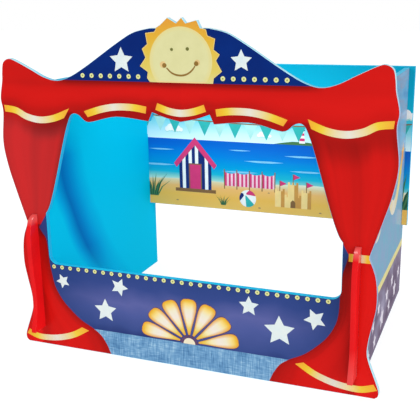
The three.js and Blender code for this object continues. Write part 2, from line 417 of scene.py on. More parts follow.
def gold_ink(tree, place, tints):
    """A ribbon that runs from gold at its ends through yellow to a cream highlight in its middle."""
    run = add(tree, "ShaderNodeAttribute", attribute_name="along").outputs["Fac"]
    return add(tree, "ShaderNodeValToRGB", {0: run}, stops=[
        (0.0, tints.gold), (0.09, "#E6B82E"), (0.17, tints.yellow), (0.32, "#E0D0A4"), (0.48, tints.cream),
        (0.62, "#DFD0A6"), (0.82, "#E5C63C"), (1.0, tints.gold),
    ])


def sun_ink(tree, place, tints):
    """Pale yellow that warms at the disc's rim and along the pelmet line."""
    sizes = bpy.context.scene.theatre_sizes
    middle = sun_middle()
    flat = mottled(tints.sun, "#D2CF98", 18 * MM)(tree, place)
    away = add(
        tree, "ShaderNodeVectorMath", {0: place, 1: (middle.x, FRONT_LOW.y, middle.y)}, operation="DISTANCE"
    )
    rim = add(tree, "ShaderNodeMapRange", {0: away, 1: 0.86 * sizes.sun_radius, 2: sizes.sun_radius})
    warm = add(tree, "ShaderNodeMix", {0: rim, 6: flat, 7: "#DACF8C"}, data_type="RGBA")
    height = add(tree, "ShaderNodeSeparateXYZ", {0: place}).outputs["Z"]
    foot = add(
        tree, "ShaderNodeMapRange", {0: height, 1: sizes.pelmet_line + 3 * MM, 2: sizes.pelmet_line + 1 * MM}
    )
    return add(tree, "ShaderNodeMix", {0: foot, 6: warm, 7: "#E6C98C"}, data_type="RGBA")


def ray_ink(tree, place, tints):
    """Orange at the top of the sun, yellow lower down."""
    height = add(tree, "ShaderNodeSeparateXYZ", {0: place}).outputs["Z"]
    return graded(tree, height, 0.83 * TALL, 0.99 * TALL, [
        (0.0, "#D6CD88"), (0.2, "#D6C462"), (0.5, "#D8B848"), (0.75, "#D9A936"), (1.0, tints.ray),
    ])


def petal_ink(tree, place, tints):
    """A petal with a cream heart, yellow towards its rim, orange at its tip, its edge and its root. The
    attribute petal holds the share across it from its middle, and the share along it."""
    petal = add(tree, "ShaderNodeAttribute", attribute_name="petal").outputs["Vector"]
    shares = add(tree, "ShaderNodeSeparateXYZ", {0: petal}).outputs
    heart = add(tree, "ShaderNodeValToRGB", {0: shares["Y"]}, stops=[
        (0.0, "#DCA23E"), (0.14, "#E0C458"), (0.3, "#E9DFB0"), (0.46, "#E8DED2"), (0.62, "#E6DFC4"),
        (0.75, "#ECD488"), (0.86, "#E6BC46"), (0.96, "#DC982C"),
    ])
    off = add(tree, "ShaderNodeMath", {0: shares["X"]}, operation="ABSOLUTE")
    rim = add(tree, "ShaderNodeMapRange", {0: off, 1: 0.46, 2: 1.0, 3: 0.0, 4: 0.95})
    return add(tree, "ShaderNodeMix", {0: rim, 6: heart, 7: "#DE9A32"}, data_type="RGBA")


def sky_ink(tree, place, tints):
    """Bright cyan with a painted shadow of the front board: one darker band that falls from the front at mid
    height to the rear at the foot.
    """
    slope = Vector((0, 0.835, 0.55))  # leads across the sweep
    bow_height = 0.325 * SIDE_TALL
    bow_strength = -1.2
    lean = add(tree, "ShaderNodeVectorMath", {0: place, 1: slope}, operation="DOT_PRODUCT")
    line = stirred(tree, lean, place, 120 * MM, 10 * MM, 1.0)
    # above and below a third of the way up, the painted shadow curves back from its straight line
    height = add(tree, "ShaderNodeSeparateXYZ", {0: place}).outputs["Z"]
    off = add(tree, "ShaderNodeMath", {0: height, 1: bow_height}, operation="SUBTRACT")
    bow = add(tree, "ShaderNodeMath", {0: off, 1: off}, operation="MULTIPLY")
    bent = add(tree, "ShaderNodeMath", {0: bow, 1: bow_strength, 2: line}, operation="MULTIPLY_ADD")
    # distances across the painted shadow, from the line that passes through the foot of the front board's
    # face
    start = slope.y * FRONT_LOW.y
    near, far = start + 180 * MM, start + 306 * MM
    # painted shadow: darker blues across the band
    painted_shadow = graded(tree, bent, near, far, [
        (0.0, tints.sky), (0.12, "#029CCE"), (0.3, "#0368AA"), (0.42, "#037CBA"), (0.6, "#029ACC"),
        (0.88, tints.sky),
    ])
    # the painted shadow fades out above the stage's mid height, and a little towards its foot
    fade = graded(tree, height, 0.0, SIDE_TALL, [
        (0.15, (0.5, 0.5, 0.5, 1)), (0.29, (0, 0, 0, 1)), (0.7, (0, 0, 0, 1)), (0.82, (1, 1, 1, 1)),
    ])
    return add(tree, "ShaderNodeMix", {0: fade, 6: painted_shadow, 7: tints.sky}, data_type="RGBA")


def edge_ink(tree, place, tints):
    """Light blue paint, turned pale by a painted highlight on the highest edges and down the front board's
    right edge, greyer at mid height, and deepened by painted shade on the edges that face right."""
    solid = mottled(tints.edge, "#20C2E6", 9 * MM)(tree, place)
    across, depth, height = add(tree, "ShaderNodeSeparateXYZ", {0: place}).outputs
    # painted highlight: pale on the highest edges and down the front board's right edge, where light catches
    # them, and greyer at mid height
    thin = graded(tree, height, 0.0, TALL, [
        (0.0, tints.edge_pale), (0.1, tints.edge_pale), (0.2, "#8FA4C2"), (0.76, "#A3B8D8"),
        (0.86, tints.edge_pale),
    ])
    high = add(tree, "ShaderNodeMapRange", {0: height, 1: 0.8 * TALL, 2: 0.86 * TALL, 3: 0.0, 4: 0.85})
    right = add(tree, "ShaderNodeMapRange", {0: across, 1: 0.8 * HALF, 2: 0.84 * HALF, 3: 0.0, 4: 0.9})
    front = add(tree, "ShaderNodeMapRange", {0: depth, 1: FRONT_HIGH.y + BOARD, 2: FRONT_HIGH.y})
    outer = add(tree, "ShaderNodeMath", {0: right, 1: front}, operation="MULTIPLY")
    either = add(tree, "ShaderNodeMath", {0: high, 1: outer}, operation="MAXIMUM")
    # the boards' backs keep the plain paint with no painted highlight, and painted shade deepens the blue on
    # the edges that face right
    normal = add(tree, "ShaderNodeNewGeometry").outputs["Normal"]
    facing = add(tree, "ShaderNodeSeparateXYZ", {0: normal}).outputs
    right_facing_shade = add(tree, "ShaderNodeMapRange", {0: facing["X"], 1: 0.5, 2: 0.9})
    paint_with_shade = add(tree, "ShaderNodeMix", {0: right_facing_shade, 6: solid, 7: "#04A6D2"}, data_type="RGBA")
    back = add(tree, "ShaderNodeMapRange", {0: facing["Y"], 1: 0.7, 2: 0.95, 3: 1.0, 4: 0.0})
    where = add(tree, "ShaderNodeMath", {0: either, 1: back}, operation="MULTIPLY")
    return add(tree, "ShaderNodeMix", {0: where, 6: paint_with_shade, 7: thin}, data_type="RGBA")


def nose_ink(tree, place, tints):
    """Bright red with a pink bloom where the gloss is lit: on the tips and on the right nose's foot."""
    red = mottled(tints.nose_red, "#DA1116", 30 * MM)(tree, place)
    spot = add(tree, "ShaderNodeSeparateXYZ", {0: place}).outputs
    tip = add(tree, "ShaderNodeMapRange", {0: spot["Z"], 1: 0.396 * TALL, 2: 0.412 * TALL, 3: 0.0, 4: 0.26})
    low = add(tree, "ShaderNodeMapRange", {0: spot["Z"], 1: 0.15 * TALL, 2: 0.08 * TALL, 3: 0.0, 4: 0.16})
    right = add(tree, "ShaderNodeMath", {0: spot["X"], 1: 0.0}, operation="GREATER_THAN")
    foot = add(tree, "ShaderNodeMath", {0: low, 1: right}, operation="MULTIPLY")
    bloom = add(tree, "ShaderNodeMath", {0: tip, 1: foot}, operation="ADD")
    return add(tree, "ShaderNodeMix", {0: bloom, 6: red, 7: "#F59A96"}, data_type="RGBA")


def streaked(tree, place, scale, stops):
    """Colours stirred by a noise whose streaks fall from the front of a side board to its rear."""
    turned = add(
        tree, "ShaderNodeMapping", {"Vector": place, "Rotation": (math.radians(-50), 0, 0), "Scale": scale}
    )
    drift = add(tree, "ShaderNodeTexNoise", {"Vector": turned, "Scale": 1.0, "Detail": 4.0})
    return add(tree, "ShaderNodeValToRGB", {0: drift}, stops=stops)


def dusk_ink(tree, place, tints):
    """Grey blue with pale creases, bluer towards the stripe."""
    creased = streaked(tree, place, (1, 8, 40), [
        (0.3, tints.dusk), (0.45, "#6FA3C8"), (0.56, "#8798B4"), (0.66, "#7FA9CC"), (0.78, "#A8BED2"),
    ])
    low = mottled("#8AA6C6", "#78AEC6", 30 * MM)(tree, place)
    height = add(tree, "ShaderNodeSeparateXYZ", {0: place}).outputs["Z"]
    share = add(tree, "ShaderNodeMapRange", {0: height, 1: 0.62 * SIDE_TALL, 2: 0.4 * SIDE_TALL})
    return add(tree, "ShaderNodeMix", {0: share, 6: creased, 7: low}, data_type="RGBA")


def violet_ink(tree, place, tints):
    """Plum grey with soft pale clouds."""
    stops = [(0.3, "#675872"), (0.48, tints.violet), (0.6, "#918AA4"), (0.76, "#B8B0C8")]
    return streaked(tree, place, (1, 14, 22), stops)


def view_ink(low_share, high_share, wander, stops):
    """An ink whose colours climb a stretch of the backdrop, stirred by a noise that is long across it."""

    def ink(tree, place, tints):
        height = add(tree, "ShaderNodeSeparateXYZ", {0: place}).outputs["Z"]
        stretched = add(tree, "ShaderNodeMapping", {"Vector": place, "Scale": (4, 1, 30)})
        height = stirred(tree, height, stretched, 1, wander, 3.0)
        low, high = (BACK_LOW.z + share * BACK_TALL for share in (low_share, high_share))
        return graded(tree, height, low, high, stops)

    return ink


def face(origin, right):
    """A board's face as a flat frame: u along right, v straight up, and the third axis out of the face."""
    axes = Matrix((right, UP, right.cross(UP))).transposed()
    return Matrix.Translation(origin) @ axes.to_4x4()


X = Vector((1, 0, 0))
Y = Vector((0, 1, 0))
FRONT = face(Vector((0, FRONT_LOW.y, 0)), X)
VIEW = face(Vector((0, BACK_LOW.y, 0)), X)
LEFT_IN = face(Vector((LEFT_HIGH.x, 0, 0)), Y)
LEFT_OUT = face(Vector((LEFT_LOW.x, 0, 0)), -Y)
RIGHT_IN = face(Vector((RIGHT_LOW.x, 0, 0)), -Y)
RIGHT_OUT = face(Vector((RIGHT_HIGH.x, 0, 0)), Y)


def outlines(node, board_face):
    """The closed outlines of a board's face, largest first. The board lies to the left of each, so they run
    anticlockwise round it and clockwise round its holes."""
    flat = bmesh.new()
    flat.from_mesh(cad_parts[node].data)
    bmesh.ops.remove_doubles(flat, verts=flat.verts, dist=WELD)
    flat.transform(board_face.inverted())
    flat.normal_update()
    here = {f for f in flat.faces if f.normal.z > 0.99 and abs(f.calc_center_median().z) < WELD}
    onward = {}
    for tile in here:
        for corner in tile.loops:
            if not any(other in here for other in corner.edge.link_faces if other is not tile):
                onward[corner.vert] = corner.link_loop_next.vert
    loops = []
    while onward:
        start = min(onward, key=lambda vert: vert.index)
        loop = [start]
        while onward[loop[-1]] is not start:
            loop.append(onward.pop(loop[-1]))
        onward.pop(loop[-1])
        loops.append([vert.co.xy.copy() for vert in loop])
    flat.free()
    return sorted(loops, key=lambda loop: -max(point.length for point in loop))


def left_of(step):
    return Vector((-step.y, step.x)).normalized()


def inset(loop, distance):
    """A closed outline moved into the board, which lies to the left of its edges."""
    moved = []
    for before, here, after in zip(loop[-1:] + loop[:-1], loop, loop[1:] + loop[:1]):
        first = left_of(here - before)
        second = left_of(after - here)
        moved.append(here + (first + second) * (distance / (1 + first.dot(second))))
    return moved


def smooth(points, steps=6):
    """A rounded line through given points."""
    line = []
    padded = [points[0] * 2 - points[1], *points, points[-1] * 2 - points[-2]]
    for a, b, c, d in zip(padded, padded[1:], padded[2:], padded[3:]):
        speed = c - a
        bend = a * 2 - b * 5 + c * 4 - d
        twist = b * 3 - a - c * 3 + d
        for t in (i / steps for i in range(steps)):
            line.append((b * 2 + speed * t + bend * t**2 + twist * t**3) / 2)
    return line + [points[-1]]


def on_front(shares):
    """Points of the front board's face from shares of its half width and its height."""
    return [Vector((u * HALF, v * TALL)) for u, v in shares]


def mirror(points):
    return [Vector((-point.x, point.y)) for point in reversed(points)]


def block(low_u, low_v, high_u, high_v):
    corners = ((low_u, low_v), (high_u, low_v), (high_u, high_v), (low_u, high_v))
    return [Vector(corner) for corner in corners]


def disc(middle, radius, count=48):
    turns = [2 * math.pi * i / count for i in range(count)]
    return [middle + radius * Vector((math.cos(turn), math.sin(turn))) for turn in turns]


def finer(loop, spacing):
    """A closed outline whose long edges are divided."""
    divided = []
    for here, after in zip(loop, loop[1:] + loop[:1]):
        count = max(1, math.ceil((after - here).length / spacing))
        divided += [here.lerp(after, i / count) for i in range(count)]
    return divided


def cut(shapes, spacing=None):
    """Cuts the plane along every outline at once. Returns its points, and its triangles with the
    names of the shapes that hold them. With a spacing, the first shape's reach is filled with
    points that far apart."""
    names = [name for name, loop in shapes]
    points = []
    polygons = []
    for name, loop in shapes:
        if spacing:
            loop = finer(loop, spacing)
        polygons.append(list(range(len(points), len(points) + len(loop))))
        points += loop
    if spacing:
        reach = shapes[0][1]
        low_u, high_u = min(p.x for p in reach), max(p.x for p in reach)
        low_v, high_v = min(p.y for p in reach), max(p.y for p in reach)
        for row in range(1, int((high_v - low_v) / spacing)):
            for column in range(1, int((high_u - low_u) / spacing)):
                # every other row is moved half a step, so that the triangles are nearly even
                points.append(Vector((low_u + (column + row % 2 / 2) * spacing, low_v + row * spacing)))
    result = delaunay_2d_cdt(points, [], polygons, 1, CUT_STEP, True)
    triangles = [(tile, {names[i] for i in ids}) for tile, ids in zip(result[2], result[5])]
    return result[0], triangles


def pick(cutting, inside, outside=()):
    """The triangles of a cutting that lie in every shape of inside and in none of outside."""
    points, triangles = cutting
    wanted = set(inside)
    kept = [tile for tile, names in triangles if wanted <= names and not names & set(outside)]
    return points, kept


def sheet(name, flat, layer):
    """A thin closed sheet over flat triangles, in one layer of the print."""
    points, tiles = flat
    used = sorted({index for tile in tiles for index in tile})
    place = {old: new for new, old in enumerate(used)}
    top = [[place[index] for index in tile] for tile in tiles]
    under = [[index + len(used) for index in reversed(tile)] for tile in top]
    steps = {(tile[i - 1], tile[i]) for tile in top for i in range(len(tile))}
    walls = [(a, a + len(used), b + len(used), b) for a, b in sorted(steps) if (b, a) not in steps]
    corners = [(points[old].x, points[old].y, high) for high in reversed(layer) for old in used]
    mesh = bpy.data.meshes.new(name)
    mesh.from_pydata(corners, [], top + under + walls)
    mesh.validate()
    return mesh


def lifted(layer, millimetres):
    """A layer of print a little above another."""
    return tuple(height + millimetres * MM for height in layer)


def store(mesh, name, field):
    """Writes field(u, v) on every point of a flat mesh."""
    layer = mesh.attributes.new(name, "FLOAT_VECTOR", "POINT")
    for vertex, item in zip(mesh.vertices, layer.data):
        item.vector = field(vertex.co.x, vertex.co.y)


def mount(mesh, board_face, body, material=None):
    """Stands a flat mesh on its board's face, and hands it over as a piece of the theatre."""
    mesh.transform(board_face)
    if material:
        mesh.materials.clear()
        mesh.materials.append(material)
    piece = bpy.data.objects.new(mesh.name, mesh)
    bpy.context.scene.collection.objects.link(piece)
    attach(piece, body)
    return piece


def grown(name, tree, base, inputs):
    """Runs a node tree over a base mesh, and returns the result as a plain mesh."""
    holder = bpy.data.objects.new(name, base)
    bpy.context.scene.collection.objects.link(holder)
    modifier = holder.modifiers.new("Grow", "NODES")
    modifier.node_group = tree
    for socket in tree.interface.items_tree:
        if socket.in_out == "INPUT" and socket.name in inputs:
            modifier[socket.identifier] = inputs[socket.name]
    depsgraph = bpy.context.evaluated_depsgraph_get()
    mesh = bpy.data.meshes.new_from_object(holder.evaluated_get(depsgraph))
    mesh.name = name
    bpy.data.objects.remove(holder)
    return mesh


def new_tree(name, **sockets):
    """A geometry tree and the sockets of its inputs. Each tree also has a thickness and a material."""
    tree = bpy.data.node_groups.new(name, "GeometryNodeTree")
    tree.interface.new_socket("Geometry", in_out="INPUT", socket_type="NodeSocketGeometry")
    sockets["Float"].append("Thickness")
    sockets["Material"] = ["Material"]
    for kind, names in sockets.items():
        for socket in names:
            tree.interface.new_socket(socket, in_out="INPUT", socket_type="NodeSocket" + kind)
    tree.interface.new_socket("Geometry", in_out="OUTPUT", socket_type="NodeSocketGeometry")
    return tree, add(tree, "NodeGroupInput").outputs


def finish_tree(tree, made, material):
    """The last steps of every tree: flat faces, instances made real, and the finish on them."""
    flat = add(tree, "GeometryNodeSetShadeSmooth", {"Geometry": made, "Shade Smooth": False})
    real = add(tree, "GeometryNodeRealizeInstances", {0: flat})
    inked = add(tree, "GeometryNodeSetMaterial", {"Geometry": real, "Material": material})
    add(tree, "NodeGroupOutput", {0: inked})
    return tree


def thicken(tree, flat, thickness):
    """Nodes that raise a flat mesh, whose faces point up, into a closed sheet."""
    rise = {"Mesh": flat, "Offset": (0, 0, 1), "Offset Scale": thickness, "Individual": False}
    raised = add(tree, "GeometryNodeExtrudeMesh", rise)
    under = add(tree, "GeometryNodeFlipFaces", {0: flat})
    both = add(tree, "GeometryNodeJoinGeometry", {0: raised})
    tree.links.new(under.outputs[0], both.inputs[0])
    return add(tree, "GeometryNodeMergeByDistance", {0: both, "Distance": WELD})


def star_tree():
    """Stars on the base mesh's points, as large and as turned as the attributes size and turn say."""
    tree, given = new_tree("Printed stars", Int=["Tips"], Float=["Waist"])
    corners = add(tree, "ShaderNodeMath", {0: given["Tips"], 1: 2.0}, operation="MULTIPLY")
    ring = add(tree, "GeometryNodeMeshCircle", {"Vertices": corners, "Radius": 1.0}, fill_type="NGON")
    index = add(tree, "GeometryNodeInputIndex")
    odd = add(tree, "ShaderNodeMath", {0: index, 1: 2.0}, operation="MODULO")
    reach = add(tree, "ShaderNodeMapRange", {0: odd, 3: 1.0, 4: given["Waist"]})
    spot = add(tree, "GeometryNodeInputPosition")
    drawn = add(tree, "ShaderNodeVectorMath", {0: spot, "Scale": reach}, operation="SCALE")
    star = add(tree, "GeometryNodeSetPosition", {0: ring, "Position": drawn})
    turn = add(tree, "GeometryNodeInputNamedAttribute", {"Name": "turn"}, data_type="FLOAT")
    size = add(tree, "GeometryNodeInputNamedAttribute", {"Name": "size"}, data_type="FLOAT")
    placed = add(tree, "GeometryNodeInstanceOnPoints", {
        "Points": given["Geometry"],
        "Instance": thicken(tree, star, 1.0),
        "Rotation": add(tree, "FunctionNodeAxisAngleToRotation", {"Axis": (0, 0, 1), "Angle": turn}),
        "Scale": add(tree, "ShaderNodeCombineXYZ", {0: size, 1: size, 2: given["Thickness"]}),
    })
    return finish_tree(tree, placed, given["Material"])


def dot_tree():
    """A straight row of round dots."""
    tree, given = new_tree("Row of dots", Int=["Count"], Vector=["Start", "Step"], Float=["Radius"])
    course = {"Count": given["Count"], "Start Location": given["Start"], "Offset": given["Step"]}
    row = add(tree, "GeometryNodeMeshLine", course)
    size = {"Vertices": 20, "Radius": given["Radius"], "Depth": given["Thickness"]}
    dot = add(tree, "GeometryNodeMeshCylinder", size, fill_type="NGON")
    placed = add(tree, "GeometryNodeInstanceOnPoints", {"Points": row, "Instance": dot})
    return finish_tree(tree, placed, given["Material"])


def ribbon_tree():
    """A flat ribbon along a rounded line through the base mesh's points. Taper narrows it towards both
    ends, and the two slants lean its cut ends. The attribute along runs from 0 to 1."""
    tree, given = new_tree(
        "Printed ribbon", Int=["Steps"], Float=["Width", "Taper", "Start slant", "End slant"]
    )
    line = add(tree, "GeometryNodeMeshToCurve", {0: given["Geometry"]})
    rounded = add(tree, "GeometryNodeCurveSplineType", {0: line}, spline_type="CATMULL_ROM")
    even = add(tree, "GeometryNodeResampleCurve", {0: rounded, "Count": given["Steps"]})
    marked = add(tree, "GeometryNodeSetCurveNormal", {0: even}, mode="Z_UP")
    spot = add(tree, "GeometryNodeInputPosition")
    # the band carries what its line knew at each step
    read = []
    for name, value, kind in (
        ("along", add(tree, "GeometryNodeSplineParameter"), "FLOAT"),
        ("spine", spot, "FLOAT_VECTOR"),
        ("course", add(tree, "GeometryNodeInputTangent"), "FLOAT_VECTOR"),
    ):
        kept = {"Geometry": marked, "Name": name, "Value": value}
        marked = add(tree, "GeometryNodeStoreNamedAttribute", kept, data_type=kind, domain="POINT")
        read.append(add(tree, "GeometryNodeInputNamedAttribute", {"Name": name}, data_type=kind))
    along, spine, way = read
    half = add(tree, "ShaderNodeMath", {0: given["Width"], 1: 0.5}, operation="MULTIPLY")
    other = add(tree, "ShaderNodeMath", {0: half, 1: -1.0}, operation="MULTIPLY")
    left_end = add(tree, "ShaderNodeCombineXYZ", {0: other})
    right_end = add(tree, "ShaderNodeCombineXYZ", {0: half})
    section = add(tree, "GeometryNodeCurvePrimitiveLine", {"Start": left_end, "End": right_end})
    band = add(tree, "GeometryNodeCurveToMesh", {"Curve": marked, "Profile Curve": section})
    aside = add(tree, "ShaderNodeVectorMath", {0: spot, 1: spine}, operation="SUBTRACT")
    # the width falls off with the square of the distance from the middle
    off = add(tree, "ShaderNodeMapRange", {0: along, 3: -1.0, 4: 1.0})
    bend = add(tree, "ShaderNodeMath", {0: off, 1: off}, operation="MULTIPLY")
    loss = add(tree, "ShaderNodeMath", {0: bend, 1: given["Taper"]}, operation="MULTIPLY")
    fit = add(tree, "ShaderNodeMath", {0: 1.0, 1: loss}, operation="SUBTRACT")
    narrow = add(tree, "ShaderNodeVectorMath", {0: aside, "Scale": fit}, operation="SCALE")
    # the lean of an end works over the last tenth of the ribbon
    start = add(tree, "ShaderNodeMapRange", {0: along, 1: 0.1, 2: 0.0, 4: given["Start slant"]})
    stop = add(tree, "ShaderNodeMapRange", {0: along, 1: 0.9, 2: 1.0, 4: given["End slant"]})
    slant = add(tree, "ShaderNodeMath", {0: start, 1: stop}, operation="ADD")
    across = add(tree, "ShaderNodeVectorMath", {0: way, 1: aside}, operation="CROSS_PRODUCT")
    rise = add(tree, "ShaderNodeSeparateXYZ", {0: across}).outputs["Z"]
    lean = add(tree, "ShaderNodeMath", {0: rise, 1: slant}, operation="MULTIPLY")
    shift = add(tree, "ShaderNodeVectorMath", {0: way, "Scale": lean}, operation="SCALE")
    moved = add(tree, "ShaderNodeVectorMath", {0: spine, 1: narrow}, operation="ADD")
    ended = add(tree, "ShaderNodeVectorMath", {0: moved, 1: shift}, operation="ADD")
    drawn = add(tree, "GeometryNodeSetPosition", {0: band, "Position": ended})
    return finish_tree(tree, thicken(tree, drawn, given["Thickness"]), given["Material"])


def petal_tree():
    """Petals fanned over a half circle. The attribute petal holds the shares across and along it."""
    tree, given = new_tree("Fan of petals", Int=["Count"], Float=["Root", "Reach", "Half width", "Spread"])
    weave = add(
        tree, "GeometryNodeMeshGrid", {"Size X": 2.0, "Size Y": 1.0, "Vertices X": 9, "Vertices Y": 21}
    )
    position = add(tree, "GeometryNodeInputPosition")
    spot = add(tree, "ShaderNodeSeparateXYZ", {0: position}).outputs
    share = add(tree, "ShaderNodeMath", {0: spot["Y"], 1: 0.5}, operation="ADD")
    outward = add(tree, "ShaderNodeFloatCurve", {"Value": share}, points=PETAL_COURSE_SHARES)
    plump = add(tree, "ShaderNodeFloatCurve", {"Value": share}, points=PETAL_WIDTH_SHARES)
    wide = add(tree, "ShaderNodeMath", {0: plump, 1: given["Half width"]}, operation="MULTIPLY")
    aside = add(tree, "ShaderNodeMath", {0: wide, 1: spot["X"]}, operation="MULTIPLY")
    away = add(tree, "ShaderNodeMapRange", {0: outward, 3: given["Root"], 4: given["Reach"]})
    shape = add(tree, "ShaderNodeCombineXYZ", {0: aside, 1: away})
    place = add(tree, "ShaderNodeCombineXYZ", {0: spot["X"], 1: share})
    kept = {"Geometry": weave, "Name": "petal", "Value": place}
    marked = add(tree, "GeometryNodeStoreNamedAttribute", kept, data_type="FLOAT_VECTOR", domain="POINT")
    petal = add(tree, "GeometryNodeSetPosition", {0: marked, "Position": shape})
    sealed = add(tree, "GeometryNodeMergeByDistance", {0: petal, "Distance": WELD})
    solid = thicken(tree, sealed, given["Thickness"])
    row = add(tree, "GeometryNodeMeshLine", {"Count": given["Count"], "Offset": (0, 0, 0)})
    index = add(tree, "GeometryNodeInputIndex")
    pitch = add(tree, "ShaderNodeMath", {0: math.pi, 1: given["Count"]}, operation="DIVIDE")
    step = add(tree, "ShaderNodeMath", {0: index, 1: 0.5}, operation="ADD")
    swung = add(tree, "ShaderNodeMath", {0: step, 1: pitch}, operation="MULTIPLY")
    upright = add(tree, "ShaderNodeMath", {0: swung, 1: math.pi / 2}, operation="SUBTRACT")
    lean = add(tree, "FunctionNodeAxisAngleToRotation", {"Axis": (0, 0, 1), "Angle": upright})
    placed = add(tree, "GeometryNodeInstanceOnPoints", {"Points": row, "Instance": solid, "Rotation": lean})
    pull = add(tree, "ShaderNodeCombineXYZ", {0: given["Spread"], 1: 1.0, 2: 1.0})
    spread = add(tree, "GeometryNodeTransform", {"Geometry": placed, "Scale": pull})
    return finish_tree(tree, spread, given["Material"])


def ribbon(name, points, width, material, layer=MOTIF, taper=0.0, slants=(0.0, 0.0)):
    """A printed ribbon along points, in one layer of the print."""
    low, high = layer
    line = bpy.data.meshes.new(name)
    line.from_pydata([(*point, 0) for point in points], [(i, i + 1) for i in range(len(points) - 1)], [])
    tree = bpy.data.node_groups.get("Printed ribbon") or ribbon_tree()
    mesh = grown(name, tree, line, {
        "Steps": 8 * len(points),
        "Width": width,
        "Taper": taper,
        "Start slant": slants[0],
        "End slant": slants[1],
        "Thickness": high - low,
        "Material": material,
    })
    mesh.transform(Matrix.Translation((0, 0, low)))
    return mesh


def star_field(name, places, material, layer=MOTIF):
    """Stars at (u, v, size, turn in degrees), in one layer of the print."""
    low, high = layer
    base = bpy.data.meshes.new(name)
    base.from_pydata([(u, v, low) for u, v, size, turn in places], [], [])
    sizes = base.attributes.new("size", "FLOAT", "POINT")
    turns = base.attributes.new("turn", "FLOAT", "POINT")
    sizes.data.foreach_set("value", [size for u, v, size, turn in places])
    turns.data.foreach_set("value", [math.radians(90 + turn) for u, v, size, turn in places])
    tree = bpy.data.node_groups.get("Printed stars") or star_tree()
    return grown(name, tree, base, {"Tips": 5, "Waist": 0.49, "Thickness": high - low, "Material": material})


def dot_row(name, count, start, step, radius, material, layer):
    """Dots at even steps, in one layer of the print."""
    low, high = layer
    tree = bpy.data.node_groups.get("Row of dots") or dot_tree()
    return grown(name, tree, bpy.data.meshes.new(name), {
        "Count": count,
        "Start": (*start, (low + high) / 2),
        "Step": (*step, 0),
        "Radius": radius,
        "Thickness": high - low,
        "Material": material,
    })


def joined(name, meshes):
    """Several meshes as one."""
    whole = bmesh.new()
    materials = []
    for mesh in meshes:
        first = len(whole.faces)
        whole.from_mesh(mesh)
        whole.faces.ensure_lookup_table()
        for material in mesh.materials:
            if material not in materials:
                materials.append(material)
        for tile in whole.faces[first:]:
            tile.material_index = materials.index(mesh.materials[tile.material_index])
    result = bpy.data.meshes.new(name)
    whole.to_mesh(result)
    whole.free()
    for material in materials:
        result.materials.append(material)
    return result


def eased_board(name, node, board_face, eases, fill=0.0):
    """A board with the frame's outlines whose cut edges are rounded. Each outline has its own
    radius in eases, and the last one serves the rest. All but the first two are slots, whose walls
    carry a fill of paint."""
    loops = outlines(node, board_face)
    loops = loops[:2] + [inset(loop, -fill) for loop in loops[2:]]
    solid = bmesh.new()
    rims = []
    for side, loop in enumerate(loops):
        ease = eases[min(side, len(eases) - 1)]
        turns = [math.radians(angle) for angle in (0, 30, 60, 90)]
        rounds = [(ease * (1 - math.sin(turn)), -ease * (1 - math.cos(turn))) for turn in turns]
        rounds += [(aside, -BOARD - depth) for aside, depth in reversed(rounds)]
        rings = []
        for aside, depth in rounds:
            rings.append([solid.verts.new((*point, depth)) for point in inset(loop, aside)])
        for upper, lower in zip(rings, rings[1:]):
            for i in range(len(loop)):
                wall = solid.faces.new((upper[i - 1], lower[i - 1], lower[i], upper[i]))
                wall.smooth = True
        rim = inset(loop, ease)
        rims.append(rim[::-1] if side else rim)
    names = [str(index) for index in range(len(rims))]
    points, tiles = pick(cut(list(zip(names, rims))), names[:1], names[1:])
    for depth, turn in ((0, 1), (-BOARD, -1)):
        corners = [solid.verts.new((point.x, point.y, depth)) for point in points]
        for tile in tiles:
            solid.faces.new([corners[index] for index in tile][::turn])
    bmesh.ops.remove_doubles(solid, verts=solid.verts, dist=WELD)
    mesh = bpy.data.meshes.new(name)
    solid.to_mesh(mesh)
    solid.free()
    return mesh


def finish_board(mesh, board_face, node, body, materials):
    """Paints an eased board and puts it in its node's place."""
    mesh.set_sharp_from_angle(angle=math.radians(40))
    for tile in mesh.polygons:
        tile.use_smooth = abs(tile.normal.z) < 0.99
    piece = mount(mesh, board_face, body)
    for material in materials:
        mesh.materials.append(material)
    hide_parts(node)


def edge_paint():
    """Acrylic paint rolled on cut edges and backs: light blue satin with a faint roller texture."""
    name = "rolled light blue paint"
    finish = {"roughness": 0.45, "coat": 0.1, "peel": 0.12, "shine": 0.15}
    return bpy.data.materials.get(name) or varnished(name, edge_ink, **finish)


def nose_paint():
    """Sprayed red gloss, wet enough to carry a clear highlight along the rounded edges."""
    name = "sprayed red gloss"
    return bpy.data.materials.get(name) or varnished(name, nose_ink, coat=0.8)


def sun_middle():
    """The middle of the sun on the front face, measured down from the tip of the tallest ray."""
    sizes = bpy.context.scene.theatre_sizes
    return Vector((sizes.sun_aside, TALL - sizes.sun_drop))


def polar(middle, reach, shares):
    """A closed outline from degrees from upright and shares of a reach, turned anticlockwise."""
    turns = [(math.radians(degrees), share * reach) for degrees, share in reversed(shares)]
    return [middle + radius * Vector((math.sin(turn), math.cos(turn))) for turn, radius in turns]


def skirt_line(tie_shares):
    """The line between the navy base and a curtain, drawn for the right half."""
    skirt = on_front(SKIRT_SHARES + tie_shares)
    return skirt[:1] + smooth(skirt[1:-1]) + skirt[-1:]


